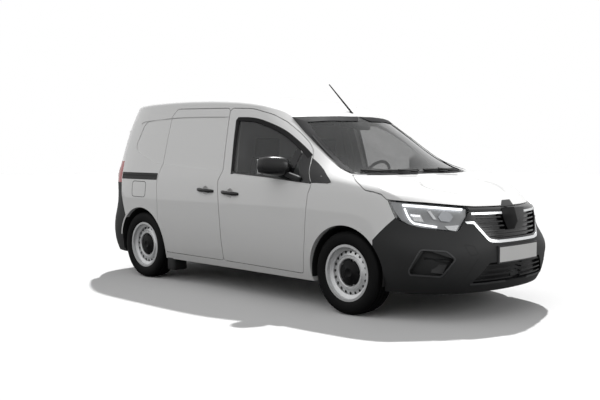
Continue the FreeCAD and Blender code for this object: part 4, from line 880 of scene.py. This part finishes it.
BUMPER_SKIN = skin_of(["front_bumper"])
FOG_FRAME = rounded_box(((420.5, 249.8), (447.0, 251.5), (456.0, 259.5), (441.5, 277.0), (409.5, 275.0),
                         (408.5, 270.5)), 3.0)
FOG_FIN = ((424.5, 259.0), (450.0, 262.0), (447.5, 264.0), (424.0, 261.2))
FOG_BLOCK = ((433.5, 264.5), (447.0, 264.5), (442.5, 274.0), (430.5, 272.5))
BUMPER_JOINT = ((478.4, 258.5), (470.5, 271.0), (462.5, 282.5), (455.0, 292.0))
TOW_COVER = rounded_box(((464, 244.6), (474, 246.0), (478.6, 254.5), (470.5, 255.5)), 1.5)
BUMPER_LIP = ((469.8, 284.6), (485, 283.3), (505, 280.6))
RAIL_SHADOW = rounded_box(((-3.088, 0.975), (-3.088, 1.038), (-2.447, 1.040), (-2.455, 0.978)), 0.01)
RAIL_GROOVE_SHADE = ((-3.080, 1.012), (-2.455, 1.014))
GRILLE_BLOCK_X = SKIN.ray_cast(Vector((4, 0.075, 0.330)), Vector((-1, 0, 0)))[0].x - 0.008
outlined("right_fog_frame", FOG_FRAME, 1.5, "picture", "gloss_edge", thick=0.004, skin=BUMPER_SKIN,
         margin=9.0, twin=True)
draped("right_fog_fin", FOG_FIN, "picture", "grained_plastic",
       thick=0.012, lift=-0.032, skin=BUMPER_SKIN, margin=14.0, twin=True, slot="grained_plastic")
draped("right_fog_block", FOG_BLOCK, "picture",
       "mesh_plastic", thick=0.014, lift=-0.034, skin=BUMPER_SKIN, margin=14.0, twin=True)
draped("right_bumper_joint", strip(BUMPER_JOINT, 0.55), "picture",
       "shadow_line", thick=0.0008, skin=BUMPER_SKIN, margin=6.0, twin=True)
outlined("tow_cover_joint", TOW_COVER, 0.5,
         "picture", "shadow_line", thick=0.0008, skin=BUMPER_SKIN, margin=6.0)
draped("right_bumper_lip", strip(BUMPER_LIP, 1.5), "picture", "gloss_edge",
       thick=0.006, skin=BUMPER_SKIN, margin=6.0, twin=True)
# painted shadow round the slide rail
outlined("rail_shadow", RAIL_SHADOW, 0.004,
         "right", "shadow_line", thick=0.0006)
# painted shade in the slide rail's groove
draped("slide_rail_groove", strip(RAIL_GROOVE_SHADE, 0.008), "right", "shadow_line", thick=0.0006,
       lift=0.0004, skin=skin_of(["slide_rail"]))
soft_block("lower_grille_block", (GRILLE_BLOCK_X, 0, 0.372),
           (0.030, 0.110, 0.110), "grained_plastic", round_share=0.15)


# Grille carrier

CARRIER_FACE = ((501.0, 207.5), (513.6, 206.6), (517.2, 221.0), (514.0, 228.6), (507.6, 229.6),
                (502.6, 217.0))
CARRIER_TAB = ((500.6, 206.6), (501.4, 200.4), (509.2, 199.6), (513.4, 205.8))
draped("carrier_face", CARRIER_FACE,
       "picture", "hub_black", thick=0.004, lift=0.001, skin=skin_of(["front_grille"]), margin=4.0)
draped("carrier_tab", CARRIER_TAB, "picture", "hub_black",
       "bonnet_body", thick=0.004, skin=skin_of(["bonnet"]), margin=4.0)


# Number plates and their frames

PLATE_LOW, PLATE_HIGH, PLATE_HALF = 0.444, 0.555, 0.260
FRAME_EDGE = 0.010
PLATE_BOW = 0.012


def plate_form(half, low, high, depth, x, bow, way):
    form = bmesh.new()
    bmesh.ops.create_grid(form, x_segments=16, y_segments=2, size=1)
    for vertex in form.verts:
        across, up = vertex.co.x, vertex.co.y
        vertex.co = Vector((x - way * bow * across ** 2, across * half,
                            (low + high) / 2 + up * (high - low) / 2))
    bmesh.ops.recalc_face_normals(form, faces=form.faces[:])
    thicken(form, (way * depth, 0, 0))
    return form


def plated(name, half, low, high, depth, x, bow, finish, body=BODY, way=1):
    creased(make_piece(name, plate_form(half, low, high, depth, x, bow, way), finish, body))


NOSE_X = max(SKIN.ray_cast(Vector((4, y, 0.5)), Vector((-1, 0, 0)))[0].x for y in (-0.2, 0, 0.2))
plated("front_plate_frame", PLATE_HALF + FRAME_EDGE, PLATE_LOW - FRAME_EDGE, PLATE_HIGH + FRAME_EDGE, 0.014,
       NOSE_X - 0.008, PLATE_BOW, "gloss_edge")
plated("front_plate", PLATE_HALF, PLATE_LOW, PLATE_HIGH, 0.003, NOSE_X + 0.005, PLATE_BOW, "plate_white")


# Rear end

REAR_RIGHT, REAR_LEFT = "door_rear_right_body", "door_rear_left_body"
TAIL_SKIN = skin_of(["rear_door_right", "rear_door_left"])
TAIL_LAMP_SKIN = skin_of(["tail_lamps"])
REAR_BUMPER_SKIN = skin_of(["rear_bumper"])
BED_HALF, BED_LOW, BED_HIGH = 0.275, 0.655, 0.800
STOP_LAMP = ((0.030, 1.600), (-0.060, 1.600), (-0.060, 1.622), (0.030, 1.622))
HINGE_LEVELS = ((0.72, 0.716), (1.02, 0.716), (1.44, 0.66))
HINGE_SIZE = (0.026, 0.060, 0.055)


def tail_x(y, z):
    return TAIL_SKIN.ray_cast(Vector((-4, y, z)), Vector((1, 0, 0)))[0].x


def tile(side, near, far, first, last):
    """Rectangle between two distances from the middle and two heights."""
    return (side * near, first), (side * far, first), (side * far, last), (side * near, last)


plated("rear_plate_bed", BED_HALF, BED_LOW, BED_HIGH, 0.008, tail_x(-0.30, 0.73) + 0.002, 0.0,
       "grained_plastic", REAR_RIGHT, -1)
soft_block("rear_plate_light", (tail_x(-0.2, 0.83) - 0.008, -0.22, 0.835), (0.034, 0.40, 0.040),
           "black_plastic", REAR_RIGHT)
soft_block("rear_door_handle", (tail_x(-0.02, 0.92) - 0.014, -0.055, 0.925), (0.030, 0.115, 0.034),
           "black_plastic", REAR_RIGHT)
draped("high_stop_lamp", STOP_LAMP, "rear", "red_lens",
       REAR_RIGHT, thick=0.006, skin=TAIL_SKIN, slot="red_lens")
for body, near, far in ((REAR_RIGHT, 0.030, -0.560), (REAR_LEFT, 0.115, 0.560)):
    panel = rounded_box(((near, 1.06), (far, 1.06), (far * 0.90, 1.53), (near, 1.53)), 0.06)
    outlined(f"{body}_upper_press", panel, 0.012, "rear", "white_paint", body=body, thick=0.003,
             skin=TAIL_SKIN, slot="white_paint")
for word, side in SIDES.items():
    body = REAR_RIGHT if side < 0 else REAR_LEFT
    for height, reach in HINGE_LEVELS:
        y = side * reach
        x = SKIN.ray_cast(Vector((-4, y, height)), Vector((1, 0, 0)))[0].x
        soft_block(f"{word}_rear_hinge_{int(height * 100)}", (x + 0.004, y - side * 0.004, height),
                   HINGE_SIZE, "white_paint", body)
    draped(f"{word}_tail_turn_lens", tile(side, 0.760, 0.835, 1.085, 1.040), "rear", "amber_lens",
           thick=0.002, skin=TAIL_LAMP_SKIN)
    draped(f"{word}_tail_reverse_lens", tile(side, 0.760, 0.835, 1.026, 0.985), "rear", "lamp_lens",
           thick=0.002, skin=TAIL_LAMP_SKIN)
    draped(f"{word}_rear_reflector", tile(side, 0.640, 0.800, 0.385, 0.415), "rear", "red_lens", thick=0.004,
           skin=REAR_BUMPER_SKIN, slot="red_lens")


# Seats: cushions and backs with crowned panels and sewn channels

SEAT_Y = 0.385
BACK_TILT = -83
CHANNELS = (-0.55, 0.55)
NO_CHANNELS = (9,)


def seat_pad(name, centre, size, tilt, channels):
    """Crowned pad: thickest in the middle, drawn in at the edges and along its seams."""
    form = cut_cube(SEAT_CUTS)
    length, width, depth = size
    for vertex in form.verts:
        u, v, w = vertex.co
        edge = (1 - abs(u) ** 6) * (1 - abs(v) ** 6)
        seam = min(abs(v - place) for place in channels)
        crown = 0.55 + 0.45 * edge ** 0.5 - 0.12 * math.exp(-(seam / 0.05) ** 2)
        pull = 1 - 0.03 * abs(w) ** 8
        bolster = 1 + 0.25 * max(0, abs(v) - 0.6) / 0.4 * edge
        vertex.co = (u * length / 2 * pull, v * width / 2 * pull, w * depth / 2 * crown * bolster)
    put(form, centre, tilt)
    return creased(make_piece(name, form, "seat_fabric", BODY), 70)


seat_pieces = []
for word, y in (("left", SEAT_Y), ("right", -SEAT_Y)):
    seat_pieces += [
        seat_pad(f"{word}_seat_cushion", (0.125, y, 0.605), (0.500, 0.480, 0.150), -6, CHANNELS),
        seat_pad(f"{word}_seat_back", (-0.135, y, 0.900), (0.610, 0.470, 0.130), BACK_TILT, CHANNELS),
        seat_pad(f"{word}_head_rest", (-0.175, y, 1.290), (0.170, 0.270, 0.085), BACK_TILT, NO_CHANNELS),
        soft_block(f"{word}_seat_base", (0.100, y, 0.410), (0.400, 0.360, 0.240), "trim_plastic",
                   round_share=0.1)]
    for shift in (-0.06, 0.06):
        seat_pieces.append(soft_block(f"{word}_head_post_{int(shift * 100) + 6}", (-0.163, y + shift, 1.200),
                                      (0.014, 0.014, 0.120), "bright_trim", round_share=0.45))
for piece in seat_pieces[:1]:
    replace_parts(piece, "seats")


# Floor, lights, world and camera

def make_floor():
    form = bmesh.new()
    bmesh.ops.create_grid(form, x_segments=1, y_segments=1, size=30)
    mesh = bpy.data.meshes.new("studio_floor")
    form.to_mesh(mesh)
    form.free()
    floor = new_object("studio_floor", mesh)
    material, shader, link = finish_base("pale_floor", Roughness=0.9)
    speckle = material.node_tree.nodes.new("ShaderNodeTexNoise")
    speckle.inputs["Scale"].default_value = 3.0
    seen = material.node_tree.nodes.new("ShaderNodeLightPath")
    tone = material.node_tree.nodes.new("ShaderNodeMix")
    tone.data_type = "RGBA"
    tone.inputs[6].default_value = (0.16, 0.16, 0.16, 1)
    link(seen.outputs["Is Camera Ray"], tone.inputs[0])
    link(mixed(material, speckle.outputs["Fac"], (0.80, 0.80, 0.80), (0.83, 0.83, 0.83)), tone.inputs[7])
    link(tone.outputs[2], shader.inputs["Base Color"])
    mesh.materials.append(material)


def area_light(name, place, target, size, power):
    data = bpy.data.lights.new(name, "AREA")
    data.shape = "RECTANGLE"
    data.size, data.size_y = size
    data.energy = power
    lamp = new_object(name, data)
    lamp.location = place
    lamp.rotation_euler = (Vector(target) - Vector(place)).to_track_quat("-Z", "Y").to_euler()


def make_world():
    """Graded studio light; the camera and the gloss of the finishes see a white backdrop."""
    world = bpy.data.worlds.new("studio")
    world.use_nodes = True
    nodes, link = world.node_tree.nodes, world.node_tree.links.new
    back = nodes["Background"]
    back.inputs["Color"].default_value = (1, 1, 1, 1)
    seen = nodes.new("ShaderNodeLightPath")
    place = nodes.new("ShaderNodeTexCoord")
    split = nodes.new("ShaderNodeSeparateXYZ")
    height = map_range(nodes, To_Min=0.03, To_Max=0.18)
    beside = map_range(nodes, From_Max=-1.0, To_Max=1.38)
    above = map_range(nodes, From_Min=0.08, From_Max=0.45)
    fill = nodes.new("ShaderNodeMath")
    fill.operation = "MULTIPLY_ADD"
    mirrored = nodes.new("ShaderNodeMix")
    mirrored.inputs[3].default_value = 1.0
    level = nodes.new("ShaderNodeMix")
    level.inputs[3].default_value = 1.0
    link(place.outputs["Object"], split.inputs["Vector"])
    link(split.outputs["Z"], height.inputs["Value"])
    link(split.outputs["Z"], above.inputs["Value"])
    link(split.outputs["Y"], beside.inputs["Value"])
    for index, node in enumerate((beside, above, height)):
        link(node.outputs["Result"], fill.inputs[index])
    link(seen.outputs["Is Glossy Ray"], mirrored.inputs[0])
    link(fill.outputs["Value"], mirrored.inputs[2])
    link(mirrored.outputs[0], level.inputs[2])
    link(seen.outputs["Is Camera Ray"], level.inputs[0])
    link(level.outputs[0], back.inputs["Strength"])
    bpy.context.scene.world = world


def make_lights():
    data = bpy.data.lights.new("key_light", "SUN")
    data.energy = 3.3
    data.angle = math.radians(1.6)
    lamp = new_object("key_light", data)
    lamp.location = (-2.0, 3.0, 5.0)
    lamp.rotation_euler = Vector((0.40, -0.58, -1.0)).to_track_quat("-Z", "Y").to_euler()
    area_light("front_softbox", (7.0, 1.0, 2.5), (1.6, 0, 0.7), (3.0, 2.0), 60)


def make_camera():
    data = bpy.data.cameras.new("photo_camera")
    data.lens = CAMERA_LENS
    data.sensor_width = SENSOR_WIDTH
    camera = new_object("photo_camera", data)
    camera.location = CAMERA_PLACE
    camera.rotation_euler = CAMERA_TURN.to_euler()
    bpy.context.scene.camera = camera


make_floor()
make_world()
make_lights()
make_camera()
bpy.context.scene.view_settings.view_transform = "Standard"
